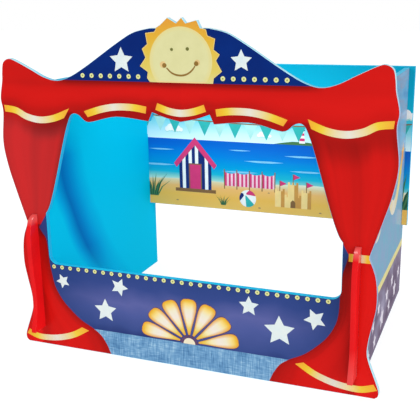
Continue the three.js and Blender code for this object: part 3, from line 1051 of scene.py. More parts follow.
def front_shapes():
    """Every outline that the ground print of the front board is cut along."""
    sizes = bpy.context.scene.theatre_sizes
    board, opening, *slots = outlines("front_panel", FRONT)
    bare = sizes.ease + sizes.reveal
    rays = polar(sun_middle(), sizes.sun_radius, RAY_SHARES)

    def over_line(loop):
        return [Vector((point.x, max(point.y, sizes.pelmet_line))) for point in loop]

    shapes = [
        ("board", inset(board, bare)),
        ("hole", inset(opening, bare)[::-1]),
        ("arch", block(-ARCH_SHARE * HALF, sizes.pelmet_line, ARCH_SHARE * HALF, 1.1 * TALL)),
        ("base", skirt_line(RIGHT_TIE_SHARES) + mirror(skirt_line(LEFT_TIE_SHARES))),
        ("denim", block(-DENIM_SHARE * HALF, -sizes.denim_line, DENIM_SHARE * HALF, sizes.denim_line)),
        ("skirts", block(-1.1 * HALF, -0.1 * TALL, 1.1 * HALF, (sizes.tie_low + sizes.tie_high) / 2)),
        ("ray shadows", over_line(inset(rays, -sizes.ray_line))),
        ("ray lines", over_line(rays)),
        ("rays", over_line(inset(rays, sizes.ray_line))),
        ("sun", over_line(disc(sun_middle(), sizes.sun_radius, 64))),
        ("left tie", block(-HALF, sizes.tie_low, -LEFT_TIE_START_SHARE * HALF, sizes.tie_high)),
        ("right tie", block(RIGHT_TIE_START_SHARE * HALF, sizes.tie_low, HALF, sizes.tie_high)),
    ]
    for slot in slots:
        shapes.append(("hole", inset(slot, sizes.slot_ease - sizes.slot_fill)[::-1]))
    return shapes


def crossings(loop, value, axis=1):
    """Where a closed outline crosses a height, or with axis 0 a place across it."""
    found = []
    for a, b in zip(loop, loop[1:] + loop[:1]):
        if (a[axis] - value) * (b[axis] - value) < 0:
            found.append(a[1 - axis] + (b[1 - axis] - a[1 - axis]) * (value - a[axis]) / (b[axis] - a[axis]))
    return found


def along_line(line, u):
    """The height of a line, listed from left to right, at u."""
    for a, b in zip(line, line[1:]):
        if u <= b.x:
            share = (u - a.x) / (b.x - a.x)
            return a.y + (b.y - a.y) * min(1, max(0, share))
    return line[-1].y


def bell(value, middle, width):
    return math.exp(-(((value - middle) / width) ** 2))


def ramp(value, low, high):
    """0 below low, 1 above high, and an eased climb between them."""
    share = min(1, max(0, (value - low) / (high - low)))
    return share * share * (3 - 2 * share)


def drape_field(board, opening, sizes):
    """What the curtains' shading needs at a point: the sprayed tone, with painted shade beside the noses, the
    share across the cloth, and how far it hangs free."""
    gather = smooth(on_front(MIDDLE_TRIM_SHARES[2:])) + smooth(on_front(INNER_TRIM_SHARES))
    gather += smooth(on_front(OUTER_TRIM_SHARES))
    skirts = []
    for shares in (LEFT_TIE_SHARES, RIGHT_TIE_SHARES):
        skirts.append([Vector((point.y, point.x)) for point in skirt_line(shares)[:-1]])
    top = max(point.y for point in opening)
    tie = (sizes.tie_low + sizes.tie_high) / 2
    slot = 0.842 * HALF  # middle of the slot's inner wall
    strip = 0.56 * HALF  # half the width of the shaded strip between the trims and the opening
    waist = 0.6 * TALL  # between the board's lower edge and its upper one
    shoulder = 0.87 * TALL  # above it the board's sides turn into its roof
    plain = 0.6
    shaded = 0.34

    def pelmet(u, v, side):
        roof = min([sizes.pelmet_line] + [c for c in crossings(board, u, 0) if c > waist])
        gap = max(0, roof - v)
        share = gap / max(gap + v - along_line(gather, abs(u)), MM)
        under_line = 0.45 * bell(gap, 0, 7 * MM) * (1 - ramp(abs(u), 0.58 * HALF, 0.7 * HALF))
        crest = 0.13 * bell(share, 0.42, 0.22) - 0.14 * bell(share, 0.9, 0.22)
        return plain + 0.03 * side - under_line + crest

    def curtain(across, below, side):
        streaks = LEFT_STREAK_SHARES if side < 0 else RIGHT_STREAK_SHARES
        free = ramp(below, 4 * MM, 45 * MM)
        tone = plain - 0.04 * (side < 0)
        for middle, width, lift in streaks:
            tone += lift * bell(across, middle, width) * (free if lift > 0 else 0.4 + 0.6 * free)
        if side > 0:
            return tone - 0.24 * (1 - ramp(below, 20 * MM, 62 * MM))
        return tone - 0.4 * (0.35 + 0.75 * bell(across, 0.22, 0.36)) * (1 - ramp(below, 14 * MM, 42 * MM))

    def skirt(u, v, across):
        tone = plain
        for middle, width, lift in SKIRT_STREAK_SHARES:
            tone += lift * bell(across, middle, width) * (0.45 + 0.55 * v / tie if middle == 0 else 1)
        # painted shade: the cloth darkens just inside each nose, where the nose shades it
        painted_nose_shade = ramp(abs(u), slot - 22 * MM, slot - 3 * MM) * (abs(u) < slot + 4 * MM)
        past_nose = ramp(abs(u), slot, slot + 9 * MM)
        return tone - 0.3 * painted_nose_shade + 0.2 * past_nose - 0.16 * bell(sizes.tie_low - v, 0, 14 * MM)

    def field(u, v):
        side = 1 if u > 0 else -1
        outer = max([side * c for c in crossings(board, min(max(v, MM), shoulder))], default=HALF)
        below = along_line(gather, abs(u)) - v
        if v <= tie:
            inner = along_line(skirts[side > 0], v)
            across = min(1, max(0, (abs(u) - inner) / (outer - inner)))
            return (skirt(u, v, across), across, 1)
        cuts = [side * c for c in crossings(opening, min(v, top - 20 * MM)) if side * c > 0.3 * HALF]
        inner = max(cuts, default=0.6 * HALF)
        across = min(1, max(0, (abs(u) - inner) / (outer - inner)))
        if below < 0:
            return (pelmet(u, v, side), across, 0)
        if abs(u) < strip:
            return (shaded, across, 0)
        return (curtain(across, below, side), across, ramp(below, 0, 30 * MM))

    return field


class TheatreOperator:
    """What every step of the dressing shares"""

    bl_options = {"REGISTER", "UNDO"}


class THEATRE_OT_front_board(TheatreOperator, bpy.types.Operator):
    """Makes the front board's eased MDF with painted edges and back"""

    bl_idname = "theatre.front_board"
    bl_label = "Front board"

    def execute(self, context):
        sizes = context.scene.theatre_sizes
        eases = (sizes.ease, sizes.ease, sizes.slot_ease)
        mesh = eased_board("front_board", "front_panel", FRONT, eases, sizes.slot_fill)
        finish_board(mesh, FRONT, "front_panel", "front", [edge_paint()])
        return {"FINISHED"}


class THEATRE_OT_side_boards(TheatreOperator, bpy.types.Operator):
    """Makes the side boards' eased MDF with painted edges and red noses"""

    bl_idname = "theatre.side_boards"
    bl_label = "Side boards"

    def execute(self, context):
        sizes = context.scene.theatre_sizes
        seam = FRONT_LOW.y + BOARD / 2  # the paint changes inside the slot, out of sight
        for side, outer in (("left", LEFT_OUT), ("right", RIGHT_OUT)):
            mesh = eased_board(f"{side}_side_board", f"{side}_side_panel", outer, (sizes.ease,))
            split = bmesh.new()
            split.from_mesh(mesh)
            where = outer.inverted() @ Vector((0, seam, 0))
            everything = split.verts[:] + split.edges[:] + split.faces[:]
            bmesh.ops.bisect_plane(
                split, geom=everything, plane_co=(where.x, 0, 0), plane_no=(1, 0, 0), dist=WELD
            )
            for tile in split.faces:
                tile.material_index = int((outer @ tile.calc_center_median()).y < seam)
            split.to_mesh(mesh)
            split.free()
            paints = [edge_paint(), nose_paint()]
            finish_board(mesh, outer, f"{side}_side_panel", f"{side}_side", paints)
        return {"FINISHED"}


class THEATRE_OT_backdrop_board(TheatreOperator, bpy.types.Operator):
    """Makes the backdrop's eased MDF with painted edges and back"""

    bl_idname = "theatre.backdrop_board"
    bl_label = "Backdrop board"

    def execute(self, context):
        sizes = context.scene.theatre_sizes
        mesh = eased_board("backdrop_board", "backdrop_panel", VIEW, (sizes.ease,))
        finish_board(mesh, VIEW, "backdrop_panel", "backdrop", [edge_paint()])
        return {"FINISHED"}


class THEATRE_OT_front_print(TheatreOperator, bpy.types.Operator):
    """Prints the curtains, arch, sun, base and denim strip on the front board"""

    bl_idname = "theatre.front_print"
    bl_label = "Front print"

    def execute(self, context):
        sizes = context.scene.theatre_sizes
        tints = context.scene.theatre_colours
        cutting = cut(front_shapes(), sizes.grain)
        board, opening = outlines("front_panel", FRONT)[:2]
        field = drape_field(board, opening, sizes)
        # screen inks lie flat and opaque, and the varnish over them gives all of them one soft gloss
        cloth = varnished("red screen print under varnish", curtain_ink)
        gold = varnished("gold screen print under varnish", gold_ink)
        navy = varnished("navy screen print under varnish", mottled(tints.arch_navy, "#03226A", 60 * MM))
        shade = varnished("dark navy screen print under varnish", flat_ink("#120E42"))
        cream = varnished("cream screen print under varnish", flat_ink("#E2CE8E"))
        orange = varnished("orange screen print under varnish", ray_ink)
        yellow = varnished("pale yellow screen print under varnish", sun_ink)
        sprayed = varnished("airbrushed navy print under varnish", base_ink)
        denim = varnished("printed denim under varnish", denim_ink, coat=0.1)
        ties = ["left tie", "right tie"]
        for name, inside, outside, material in (
            ("curtain_print", ["board"], ["hole", "arch", "base", "skirts", *ties], cloth),
            ("skirt_print", ["board", "skirts"], ["hole", "base", *ties], cloth),
            ("arch_print", ["board", "arch"], ["ray shadows", "sun"], navy),
            ("ray_shadow_print", ["board", "arch", "ray shadows"], ["ray lines", "sun"], shade),
            ("ray_line_print", ["board", "arch", "ray lines"], ["rays", "sun"], cream),
            ("ray_print", ["board", "arch", "rays"], ["sun"], orange),
            ("sun_print", ["board", "arch", "sun"], [], yellow),
            ("base_print", ["board", "base"], ["hole", "denim"], sprayed),
            ("denim_print", ["board", "base", "denim"], ["hole"], denim),
            ("left_tie_print", ["board", "left tie"], ["hole", "base"], gold),
            ("right_tie_print", ["board", "right tie"], ["hole", "base"], gold),
        ):
            mesh = sheet(name, pick(cutting, inside, outside), GROUND)
            if material is cloth:
                store(mesh, "drape", field)
            if material is gold:
                store(mesh, "along", lambda u, v: ((abs(u) / HALF - TIE_END_SHARE) / TIE_RUN_SHARE,) * 3)
            mount(mesh, FRONT, "front", material)
        return {"FINISHED"}


class THEATRE_OT_trims(TheatreOperator, bpy.types.Operator):
    """Prints the gold trims on the pelmet and the curtains' hems"""

    bl_idname = "theatre.trims"
    bl_label = "Gold trims"

    def execute(self, context):
        width = context.scene.theatre_sizes.trim_width
        gold = bpy.data.materials["gold screen print under varnish"]
        bands = {"trim_middle": (on_front(MIDDLE_TRIM_SHARES), (0, 0))}
        # how far the cut ends lean forward: right and left near the board's middle, and the far ends
        for name, shares, near_right, near_left, far in (
            ("inner", INNER_TRIM_SHARES, 0, 0, 0.3),
            ("outer", OUTER_TRIM_SHARES, -0.9, -1.4, 0.2),
            ("hem", HEM_TRIM_SHARES, 0.83, 0.83, -0.2),
        ):
            bands[f"trim_{name}_right"] = (on_front(shares), (near_right, far))
            bands[f"trim_{name}_left"] = (mirror(on_front(shares)), (-far, -near_left))
        for name, (points, slants) in bands.items():
            mount(ribbon(name, points, width, gold, slants=slants), FRONT, "front")
        return {"FINISHED"}


class THEATRE_OT_sun_face(TheatreOperator, bpy.types.Operator):
    """Prints the sun's plain smiling face"""

    bl_idname = "theatre.sun_face"
    bl_label = "Sun's face"

    def execute(self, context):
        radius = context.scene.theatre_sizes.sun_radius
        tint = context.scene.theatre_colours.features
        brown = varnished("brown screen print under varnish", mottled(tint, "#86682E", 6 * MM))
        olive = varnished("olive screen print under varnish", flat_ink("#72743C"))
        blush = varnished("blush screen print under varnish", flat_ink("#DEBE82"))
        sun = sun_middle()
        marks = []
        for name, ink, layer, spots in (
            ("sun_blush", blush, MOTIF, [(-0.57, -0.1, 0.095), (0.53, -0.03, 0.085)]),
            ("sun_eyes", olive, DETAIL, [(-0.275, 0.341, 0.046), (0.228, 0.36, 0.052)]),
            ("sun_cheeks", brown, DETAIL, [(-0.524, -0.125, 0.07), (0.5, -0.058, 0.07)]),
        ):
            for u, v, share in spots:
                round_mark = cut([("mark", disc(sun + radius * Vector((u, v)), share * radius, 24))])
                mark = sheet(name, pick(round_mark, ["mark"]), layer)
                mark.materials.append(ink)
                marks.append(mark)
        smile = [sun + radius * Vector(point) for point in SMILE_SHARES]
        marks.append(ribbon("sun_smile", smile, 0.055 * radius, brown, DETAIL, taper=0.4))
        mount(joined("sun_face", marks), FRONT, "front")
        return {"FINISHED"}


class THEATRE_OT_dots(TheatreOperator, bpy.types.Operator):
    """Prints the rows of dots over the pelmet and under the stage"""

    bl_idname = "theatre.dots"
    bl_label = "Dots"

    def execute(self, context):
        radius = context.scene.theatre_sizes.dot_radius
        tint = context.scene.theatre_colours.dot
        yellow = varnished("yellow screen print under varnish", mottled(tint, "#D6D890", 5 * MM))
        heart = varnished("ochre screen print under varnish", flat_ink("#9C9E58"))
        heart_radius = 0.36 * radius
        shade = varnished("midnight screen print under varnish", flat_ink("#161C54"))
        fall = Vector((0.8, -0.9)) * MM  # how far a dot's printed shadow lies beside it
        for name, count, place, step_share in (
            ("dots_left", 7, (-0.507, 0.8452), 0.0495),
            ("dots_right", 7, (0.211, 0.8452), 0.0495),
            ("dots_sill", 31, (-0.749, 0.264), 0.04878),
        ):
            start = on_front([place])[0]
            step = Vector((step_share * HALF, 0))
            shadows = dot_row(name, count, start + fall, step, radius, shade, lifted(GROUND, 0.05))
            rings = dot_row(name, count, start, step, radius, yellow, MOTIF)
            hearts = dot_row(name, count, start, step, heart_radius, heart, DETAIL)
            mount(joined(name, [shadows, rings, hearts]), FRONT, "front")
        return {"FINISHED"}


class THEATRE_OT_stars(TheatreOperator, bpy.types.Operator):
    """Prints the white stars on the front board"""

    bl_idname = "theatre.stars"
    bl_label = "Stars"

    def execute(self, context):
        tint = context.scene.theatre_colours.star
        white = varnished("white screen print under varnish", mottled(tint, "#DCE5E2", 14 * MM))
        places = [(u * HALF, v * TALL, size * HALF, turn) for u, v, size, turn in STAR_SHARES]
        mount(star_field("star_print", places, white), FRONT, "front")
        return {"FINISHED"}


class THEATRE_OT_shell(TheatreOperator, bpy.types.Operator):
    """Prints the fan of petals over the denim strip"""

    bl_idname = "theatre.shell"
    bl_label = "Shell"

    def execute(self, context):
        sizes = context.scene.theatre_sizes
        tint = context.scene.theatre_colours.plum
        tree = petal_tree()
        petals = varnished("airbrushed yellow print under varnish", petal_ink)
        plum = varnished("plum screen print under varnish", mottled(tint, "#553C62", 12 * MM))
        foot = Vector((0.016 * HALF, sizes.denim_line))
        reach, root, hub = sizes.shell_reach, sizes.shell_root, sizes.shell_hub
        half_width = 0.158 * reach
        line = 1.4 * MM  # the plum line round every petal
        tip_line_share = 0.4  # how much of it is left at a petal's tip
        widening = 1.12  # stretches the fan's half circle sideways
        for name, material, (low, high), more in (
            ("shell_lines", plum, MOTIF, line),
            ("shell_petals", petals, DETAIL, 0),
        ):
            mesh = grown(name, tree, bpy.data.meshes.new(name), {
                "Count": 7,
                "Root": root - more,
                "Reach": reach + tip_line_share * more,
                "Half width": half_width + more,
                "Spread": widening,
                "Thickness": high - low,
                "Material": material,
            })
            mesh.transform(Matrix.Translation((foot.x, foot.y + line, low)))
            mount(mesh, FRONT, "front")
        above = block(-HALF, foot.y, HALF, TALL)
        for name, material, layer, radius in (
            ("shell_hub_line", plum, lifted(MOTIF, 0.02), root),
            ("shell_hub", petals, DETAIL, hub),
        ):
            cutting = cut([("hub", disc(foot, radius, 40)), ("up", above)])
            mesh = sheet(name, pick(cutting, ["hub", "up"]), layer)
            # the hub takes the cream of a petal's heart, a little warmer towards its rim
            store(mesh, "petal", lambda u, v: (0.5, 0.66 - (Vector((u, v)) - foot).length / hub * 0.06, 0))
            mount(mesh, FRONT, "front", material)
        return {"FINISHED"}


class THEATRE_OT_side_prints(TheatreOperator, bpy.types.Operator):
    """Prints the side boards: sky inside, dusk over violet outside, with a stripe, gold swags and stars"""

    bl_idname = "theatre.side_prints"
    bl_label = "Side prints"

    def execute(self, context):
        sizes = context.scene.theatre_sizes
        sky = varnished("sky blue print under satin varnish", sky_ink, coat=0.0, shine=0.004)
        dusk = varnished("dusky blue print under varnish", dusk_ink)
        violet = varnished("violet print under varnish", violet_ink)
        pale_gold = varnished("pale gold print under varnish", flat_ink("#E6DC98"))
        gold = bpy.data.materials["gold screen print under varnish"]
        white = varnished("lilac white screen print under varnish", flat_ink("#E8E2EE"))
        bare = sizes.ease + sizes.reveal
        low_stripe, high_stripe = (share * SIDE_TALL for share in STRIPE_SHARES)
        for side, inner, outer in (("left", LEFT_IN, LEFT_OUT), ("right", RIGHT_IN, RIGHT_OUT)):
            node = f"{side}_side_panel"
            body = f"{side}_side"
            for board_face in (inner, outer):
                rim = board_face.inverted() @ Vector((0, FRONT_HIGH.y + bare, 0))
                back = board_face.inverted() @ Vector((0, RIGHT_HIGH.y + BOARD, 0))
                near, far = sorted((rim.x, back.x))
                cutting = cut([
                    ("board", inset(outlines(node, board_face)[0], bare)),
                    ("behind", block(near, -BOARD, far, SIDE_TALL + BOARD)),
                    ("stripe", block(-BEYOND, low_stripe, BEYOND, high_stripe)),
                    ("foot", block(-BEYOND, -BEYOND, BEYOND, high_stripe)),
                ])
                grounds = [("sky", ["board", "behind"], [], sky)]
                if board_face is outer:
                    grounds = [
                        ("dusk", ["board", "behind"], ["foot"], dusk),
                        ("stripe", ["board", "behind", "stripe"], [], pale_gold),
                        ("violet", ["board", "behind", "foot"], ["stripe"], violet),
                    ]
                for name, inside, outside, material in grounds:
                    mesh = sheet(f"{side}_{name}_print", pick(cutting, inside, outside), GROUND)
                    mount(mesh, board_face, body, material)
            self.ornaments(side, outer, gold, white)
        return {"FINISHED"}

    def ornaments(self, side, board_face, gold, white):
        """Two gold swags hung from three gold stars above the stripe, and pale stars scattered below it."""

        def on_side(u, v):
            return Vector(((1 if side == "right" else -1) * (FRONT_HIGH.y + u * SIDE_DEEP), v * SIDE_TALL))

        body = f"{side}_side"
        hooks = (0.1, 0.485, 0.87)
        hook_height = 0.66
        for name, low, width, taper, lift in (
            ("swag", 0.475, 0.058, 0.35, 0),
            ("swag_cord", 0.555, 0.012, 0.0, 0.04),
        ):
            for place, first, last in (("front", *hooks[:2]), ("rear", *hooks[1:])):
                line = []
                for i in range(9):
                    off = i / 4 - 1
                    line.append(
                        on_side(first + (last - first) * i / 8, low + (hook_height - low) * off * off)
                    )
                line.sort(key=lambda point: point.x)
                # where ribbons cross, each lies a little above the one before
                layer = lifted(MOTIF, lift + 0.02 * (place == "rear"))
                mesh = ribbon(f"{side}_{name}_{place}", line, width * SIDE_TALL, gold, layer, taper)
                mount(mesh, board_face, body)
        for name, shares, ink, layer in (
            ("swag_star_print", [(u, hook_height, 0.042, 0) for u in hooks], gold, DETAIL),
            ("star_print", SIDE_STAR_SHARES, white, MOTIF),
        ):
            places = [(*on_side(u, v), size * SIDE_TALL, turn) for u, v, size, turn in shares]
            mount(star_field(f"{side}_{name}", places, ink, layer), board_face, body)


def on_view(place, size, points):
    """An outline in shares of a motif's own size, stood at its place on the backdrop."""
    foot = Vector((place[0] * BACK_HALF, BACK_LOW.z + place[1] * BACK_TALL))
    return [foot + size * BACK_TALL * Vector(point) for point in points]


def cloud():
    puffs = [(-0.75, 0.0, 0.3), (-0.35, 0.2, 0.42), (0.15, 0.24, 0.5), (0.6, 0.08, 0.36), (1.0, -0.04, 0.24)]
    marks = [("pale aqua", disc(Vector((x, y - 0.08)), r, 20)) for x, y, r in puffs]
    return marks + [("chalk white", disc(Vector((x, y)), 0.94 * r, 20)) for x, y, r in puffs]


def bunting():
    """Pennants in two tones on one sagging cord across the whole view."""
    marks = []
    count = 17
    for i in range(count):
        left, right = ((2 * (i + step) / count - 1) for step in (0.06, 0.94))
        high, low = (0.05 * share * share for share in (left, right))
        tip = ((left + right) / 2, (high + low) / 2 - 0.11)
        marks.append((("deep aqua", "pale aqua")[i % 2], [(left, high), (right, low), tip][::-1]))
    cord = [(i / 8, 0.05 * (i / 8) ** 2) for i in range(-8, 9)]
    cord_outline = [(x, y + 0.004) for x, y in cord[::-1]] + [(x, y - 0.004) for x, y in cord]
    return marks + [("driftwood brown", cord_outline)]


def lighthouse():
    marks = [("marram green", [(-1.5, 0), (1.3, 0), (0.9, 0.08), (0.3, 0.16), (-0.5, 0.17), (-1.1, 0.08)])]
    for ink, low, high in (("chalk white", 0.1, 0.74), ("candy pink", 0.22, 0.36), ("candy pink", 0.5, 0.62)):
        wide, narrow = (0.16 - 0.09 * share for share in (low, high))
        marks.append((ink, [(-wide, low), (wide, low), (narrow, high), (-narrow, high)]))
    marks.append(("marine blue", block(-0.15, 0.74, 0.15, 0.78)))
    marks.append(("dry sand", block(-0.07, 0.78, 0.07, 0.88)))
    return marks + [("candy pink", [(-0.12, 0.88), (0.12, 0.88), (0, 1.0)])]


def beach_hut():
    eaves, ridge, half = 0.52, 0.86, 0.3

    def under_roof(low, high):
        return [(x, ridge - (ridge - eaves) * abs(x) / half) for x in (high, low)]

    marks = [
        ("driftwood brown", block(-0.38, -0.06, 0.38, 0.0)),
        ("chalk white", [(-half, 0), (half, 0), (half, eaves), (0, ridge), (-half, eaves)]),
    ]
    for low, high in ((-0.3, -0.24), (-0.18, -0.12), (0.12, 0.18), (0.24, 0.3)):
        marks.append(("marine blue", [(low, 0), (high, 0), *under_roof(low, high)]))
    for low, high in ((-0.06, 0), (0.06, 0.12)):
        marks.append(("marine blue", [(low, 0.42), (high, 0.42), *under_roof(low, high)]))
    return marks + [
        ("driftwood brown", block(-0.12, 0, 0.12, 0.45)),
        ("candy pink", block(-0.1, 0, 0.1, 0.43)),
        ("candy pink", [(-0.4, 0.44), (-0.35, 0.37), (0, 0.77), (0.35, 0.37), (0.4, 0.44), (0, 0.91)]),
    ]


def windbreak():
    """Four striped panels of cloth between five poles."""
    marks = []
    for i in range(4):
        low = 0.5 * i + 0.02
        for stripe in range(6):
            left, right = low + 0.08 * stripe, low + 0.08 * (stripe + 1)
            sag = [0.06 * (1 - ((x - low) / 0.24 - 1) ** 2) for x in (left, right)]
            outline = [(left, 0.08), (right, 0.08), (right, 0.62 - sag[1]), (left, 0.62 - sag[0])]
            marks.append((("candy pink", "pale pink")[stripe % 2], outline))
    for i in range(5):
        marks.append(("driftwood brown", block(0.5 * i - 0.015, -0.04, 0.5 * i + 0.025, 0.72)))
    return marks


def sandcastle():
    marks = []
    for low, high, top in ((-0.3, 0.3, 0.3), (-0.52, -0.24, 0.46), (0.24, 0.52, 0.46), (-0.15, 0.15, 0.66)):
        wide = high - low
        marks.append(("wet sand", block(low, 0, high, top)))
        marks.append(("dry sand", block(low, 0, low + 0.62 * wide, top)))
        for i, ink in ((0, "dry sand"), (2, "dry sand"), (4, "wet sand")):
            marks.append((ink, block(low + wide * i / 5, top, low + wide * (i + 1) / 5, top + 0.07)))
    marks.append(("driftwood brown", [(-0.07, 0), (0.07, 0), (0.07, 0.16), (0, 0.23), (-0.07, 0.16)]))
    for x, top in ((-0.38, 0.46), (0, 0.66), (0.38, 0.46)):
        marks.append(("driftwood brown", block(x - 0.012, top, x + 0.012, top + 0.3)))
        marks.append(("candy pink", [(x + 0.012, top + 0.3), (x + 0.012, top + 0.14), (x + 0.2, top + 0.22)]))
    return marks


def beach_ball():
    """A ball whose coloured gores meet at a cap above its middle."""
    cap = Vector((-0.16, 0.24))
    marks = [("chalk white", disc(Vector((0, 0)), 0.5, 36))]
    for i, ink in ((0, "candy pink"), (2, "marine blue"), (4, "deep aqua")):
        turns = [math.radians(60 * i + 10 * k + 20) for k in range(7)]
        marks.append((ink, [cap, *(0.5 * Vector((math.cos(turn), math.sin(turn))) for turn in turns)]))
    return marks + [("chalk white", disc(cap, 0.09, 16))]


def marram():
    """A tuft of dune grass."""
    marks = []
    for i in range(11):
        lean = (i - 5) * 0.13
        foot = 0.3 * lean
        tall = (1.0, 0.72, 0.86)[i % 3]
        bend = foot + 0.35 * lean
        ink = ("marram green", "deep green")[i % 2]
        blade = [(foot - 0.035, 0), (foot + 0.035, 0), (bend + 0.03, 0.55 * tall), (foot + lean, tall)]
        marks.append((ink, [*blade, (bend - 0.03, 0.55 * tall)]))
    return marks


def ripple():
    return [("foam", [(-1, 0), (-0.3, -0.05), (0.4, -0.04), (1, 0.02), (0.3, 0.05), (-0.4, 0.04)])]


def pebble():
    return [("pebble grey", [(-0.5, 0), (-0.2, -0.2), (0.3, -0.2), (0.5, 0.02), (0.2, 0.24), (-0.3, 0.2)])]


# Each motif, its place in shares of the backdrop's half width and height, and its size as a share of that
# height. Nearer ones come last.
VIEW_LAYOUT = [
    (cloud, (-0.72, 0.545), 0.06),
    (cloud, (-0.02, 0.53), 0.045),
    (cloud, (0.9, 0.7), 0.09),
    (lighthouse, (0.26, 0.478), 0.13),
    (bunting, (0, 0.6), 0.936),
    (ripple, (-0.82, 0.4), 0.1),
    (ripple, (-0.2, 0.42), 0.08),
    (ripple, (0.26, 0.4), 0.12),
    (ripple, (-0.02, 0.35), 0.14),
    (ripple, (0.3, 0.3), 0.12),
    (ripple, (-0.2, 0.27), 0.13),
    (ripple, (-0.86, 0.29), 0.14),
    (ripple, (0.7, 0.33), 0.16),
    (beach_hut, (-0.55, 0.13), 0.4),
    (beach_hut, (0.66, 0.14), 0.3),
    (windbreak, (-0.32, 0.155), 0.18),
    (sandcastle, (0.2, 0.05), 0.24),
    (beach_ball, (-0.14, 0.09), 0.12),
    (marram, (-0.33, 0.03), 0.07),
    (marram, (0.94, 0.1), 0.24),
    (marram, (-0.9, 0.06), 0.17),
    (pebble, (-0.7, 0.04), 0.02),
    (pebble, (-0.05, 0.03), 0.022),
    (pebble, (0.02, 0.14), 0.016),
    (pebble, (0.4, 0.03), 0.02),
]


class THEATRE_OT_seaside(TheatreOperator, bpy.types.Operator):
    """Prints a plain seaside view on the backdrop"""

    bl_idname = "theatre.seaside"
    bl_label = "Seaside view"

    def execute(self, context):
        sizes = context.scene.theatre_sizes
        rim = inset(outlines("backdrop_panel", VIEW)[0], sizes.ease + sizes.reveal)
        horizon = BACK_LOW.z + HORIZON_SHARE * BACK_TALL
        shore = BACK_LOW.z + SHORE_LINE_SHARE * BACK_TALL
        beach = [Vector((u * BACK_HALF, shore + v * BACK_TALL)) for u, v in SHORE_SHARES]
        cutting = cut([
            ("board", rim),
            ("sky", block(-BEYOND, horizon, BEYOND, BEYOND)),
            ("sand", [Vector((-BEYOND, 0)), Vector((BEYOND, 0)), *smooth(beach)[::-1]]),
        ])
        # the colours of sea and sand run on a little past the shore line, which rises and falls
        wet, dry = SHORE_LINE_SHARE - 0.01, SHORE_LINE_SHARE + 0.01
        for name, inside, outside, ink in (
            ("sky", ["board", "sky"], [], view_ink(HORIZON_SHARE, 1.0, 8 * MM, VIEW_SKY_STOPS)),
            ("sea", ["board"], ["sky", "sand"], view_ink(wet, HORIZON_SHARE, 7 * MM, VIEW_SEA_STOPS)),
            ("sand", ["board", "sand"], [], view_ink(0.0, dry, 5 * MM, VIEW_SAND_STOPS)),
        ):
            mesh = sheet(f"view_{name}", pick(cutting, inside, outside), GROUND)
            material = varnished(f"view {name} print under varnish", ink)
            mount(mesh, VIEW, "backdrop", material)
        self.motifs(rim)
        return {"FINISHED"}

    def motifs(self, rim):
        """Prints every motif in one layer: where two overlap, only the nearer one is there."""
        marks = []
        for motif, place, size in VIEW_LAYOUT:
            marks += [(ink, on_view(place, size, outline)) for ink, outline in motif()]
        outlined = [(index, outline) for index, (ink, outline) in enumerate(marks)]
        points, triangles = cut([("rim", rim), *outlined])
        tiles = {}
        for tile, names in triangles:
            nearest = max([name for name in names if name != "rim"], default=None)
            if "rim" in names and nearest is not None:
                tiles.setdefault(marks[nearest][0], []).append(tile)
        for ink, code in VIEW_INKS.items():
            mesh = sheet(f"view_{ink.replace(' ', '_')}", (points, tiles[ink]), MOTIF)
            material = varnished(f"{ink} print under varnish", flat_ink(code))
            mount(mesh, VIEW, "backdrop", material)


def hang(light, place, back):
    """Hangs a lamp, unseen by the camera, with its back turned along a direction."""
    lamp = bpy.data.objects.new(light.name, light)
    lamp.location = place
    lamp.rotation_euler = Vector(back).to_track_quat("Z", "Y").to_euler()
    lamp.visible_camera = False
    bpy.context.scene.collection.objects.link(lamp)
    return lamp


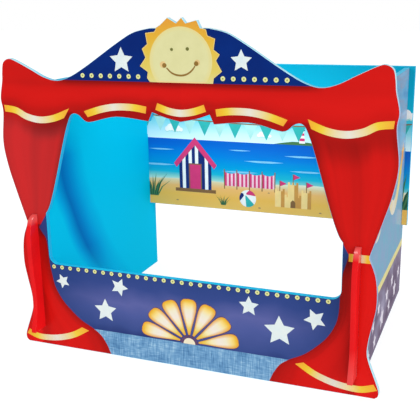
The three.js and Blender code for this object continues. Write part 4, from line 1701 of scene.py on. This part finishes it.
class THEATRE_OT_stage(TheatreOperator, bpy.types.Operator):
    """Sets up the pale floor, the studio lights and the camera"""

    bl_idname = "theatre.stage"
    bl_label = "Studio"

    def execute(self, context):
        context.scene.view_settings.view_transform = "Standard"
        self.walls(context.scene)
        self.floor(context.scene)
        self.lamps()
        self.camera(context.scene)
        return {"FINISHED"}

    def walls(self, scene):
        """White walls light the boards softly, and black flags keep them out of the varnish."""
        world = bpy.data.worlds.new("White studio")
        world.use_nodes = True
        tree = world.node_tree
        tree.nodes.clear()
        path = add(tree, "ShaderNodeLightPath").outputs
        seen = add(tree, "ShaderNodeMapRange", {0: path["Is Camera Ray"], 3: 0.65, 4: 1.0})
        strength = add(tree, "ShaderNodeMapRange", {0: path["Is Glossy Ray"], 3: seen, 4: 0.1})
        walls = add(tree, "ShaderNodeBackground", {"Color": (1, 1, 1, 1), "Strength": strength})
        add(tree, "ShaderNodeOutputWorld", {"Surface": walls})
        # the two kinds of ray get their own strengths only while the walls aren't sampled as a lamp
        world.cycles.sampling_method = "NONE"
        scene.world = world

    def floor(self, scene):
        """A matt light table, lit from below, just under the boards' feet."""
        reach = 12
        mesh = bpy.data.meshes.new("studio_floor")
        mesh.from_pydata(
            [(*corner, -0.5 * MM) for corner in block(-reach, -reach, reach, reach)], [], [(0, 1, 2, 3)]
        )
        floor = bpy.data.objects.new("studio_floor", mesh)
        scene.collection.objects.link(floor)
        paper = bpy.data.materials.new("light table")
        paper.use_nodes = True
        for socket, value in (
            ("Base Color", scene.theatre_colours.floor),
            ("Roughness", 1.0),
            ("Specular IOR Level", 0.0),
            ("Emission Color", (1, 1, 1, 1)),
            ("Emission Strength", 0.78),
        ):
            paper.node_tree.nodes["Principled BSDF"].inputs[socket].default_value = value
        mesh.materials.append(paper)
        floor.visible_glossy = False

    def lamps(self):
        """Two softboxes, and a strip hidden behind the arch that lights the view as in a real booth."""
        for name, back, breadth, power in (
            ("right_softbox", (0.78, -0.5, 0.38), 50, 1.5),
            ("overhead_softbox", (-0.3, -0.12, 1.0), 24, 0.75),
        ):
            light = bpy.data.lights.new(name, "SUN")
            light.angle = math.radians(breadth)
            light.energy = power
            hang(light, (0, 0, 0), back)
        strip = bpy.data.lights.new("stage_strip", "AREA")
        strip.shape = "RECTANGLE"
        strip.size, strip.size_y = 1.2 * HALF, 60 * MM
        strip.energy = 0.75
        strip.spread = math.radians(110)
        place = Vector((0, FRONT_HIGH.y + 80 * MM, TALL))
        lit = Vector((0, BACK_LOW.y, BACK_LOW.z + 0.4 * BACK_TALL))
        hang(strip, place, place - lit).visible_glossy = False

    def camera(self, scene):
        """Stands the camera where the photo was taken."""
        camera = bpy.data.objects.new("camera", bpy.data.cameras.new("camera"))
        camera.data.sensor_width = 36
        camera.data.lens = CAMERA_LENS
        turn = Matrix.Rotation(math.radians(90), 4, "X")
        for degrees, axis in CAMERA_TURNS:
            turn = Matrix.Rotation(math.radians(degrees), 4, axis) @ turn
        camera.matrix_world = Matrix.Translation(CAMERA_PLACE) @ turn
        scene.collection.objects.link(camera)
        scene.camera = camera


class THEATRE_PT_boards(bpy.types.Panel):
    """Lists the steps that dress the theatre"""

    bl_label = "Puppet theatre"
    bl_idname = "THEATRE_PT_boards"
    bl_space_type = "VIEW_3D"
    bl_region_type = "UI"
    bl_category = "Theatre"

    def draw(self, context):
        for step in STEPS:
            self.layout.operator(step.bl_idname)
        for group in (context.scene.theatre_sizes, context.scene.theatre_colours):
            for name in group.bl_rna.properties.keys():
                if name not in ("rna_type", "name"):
                    self.layout.prop(group, name)


STEPS = [
    THEATRE_OT_front_board,
    THEATRE_OT_side_boards,
    THEATRE_OT_backdrop_board,
    THEATRE_OT_front_print,
    THEATRE_OT_trims,
    THEATRE_OT_sun_face,
    THEATRE_OT_dots,
    THEATRE_OT_stars,
    THEATRE_OT_shell,
    THEATRE_OT_side_prints,
    THEATRE_OT_seaside,
    THEATRE_OT_stage,
]
CLASSES = [TheatreSizes, TheatreColours, *STEPS, THEATRE_PT_boards]


def register():
    for item in CLASSES:
        bpy.utils.register_class(item)
    bpy.types.Scene.theatre_sizes = bpy.props.PointerProperty(type=TheatreSizes)
    bpy.types.Scene.theatre_colours = bpy.props.PointerProperty(type=TheatreColours)


def unregister():
    del bpy.types.Scene.theatre_sizes
    del bpy.types.Scene.theatre_colours
    for item in reversed(CLASSES):
        bpy.utils.unregister_class(item)


def main():
    register()
    for step in STEPS:
        family, name = step.bl_idname.split(".")
        getattr(getattr(bpy.ops, family), name)()


if __name__ == "__main__":
    main()
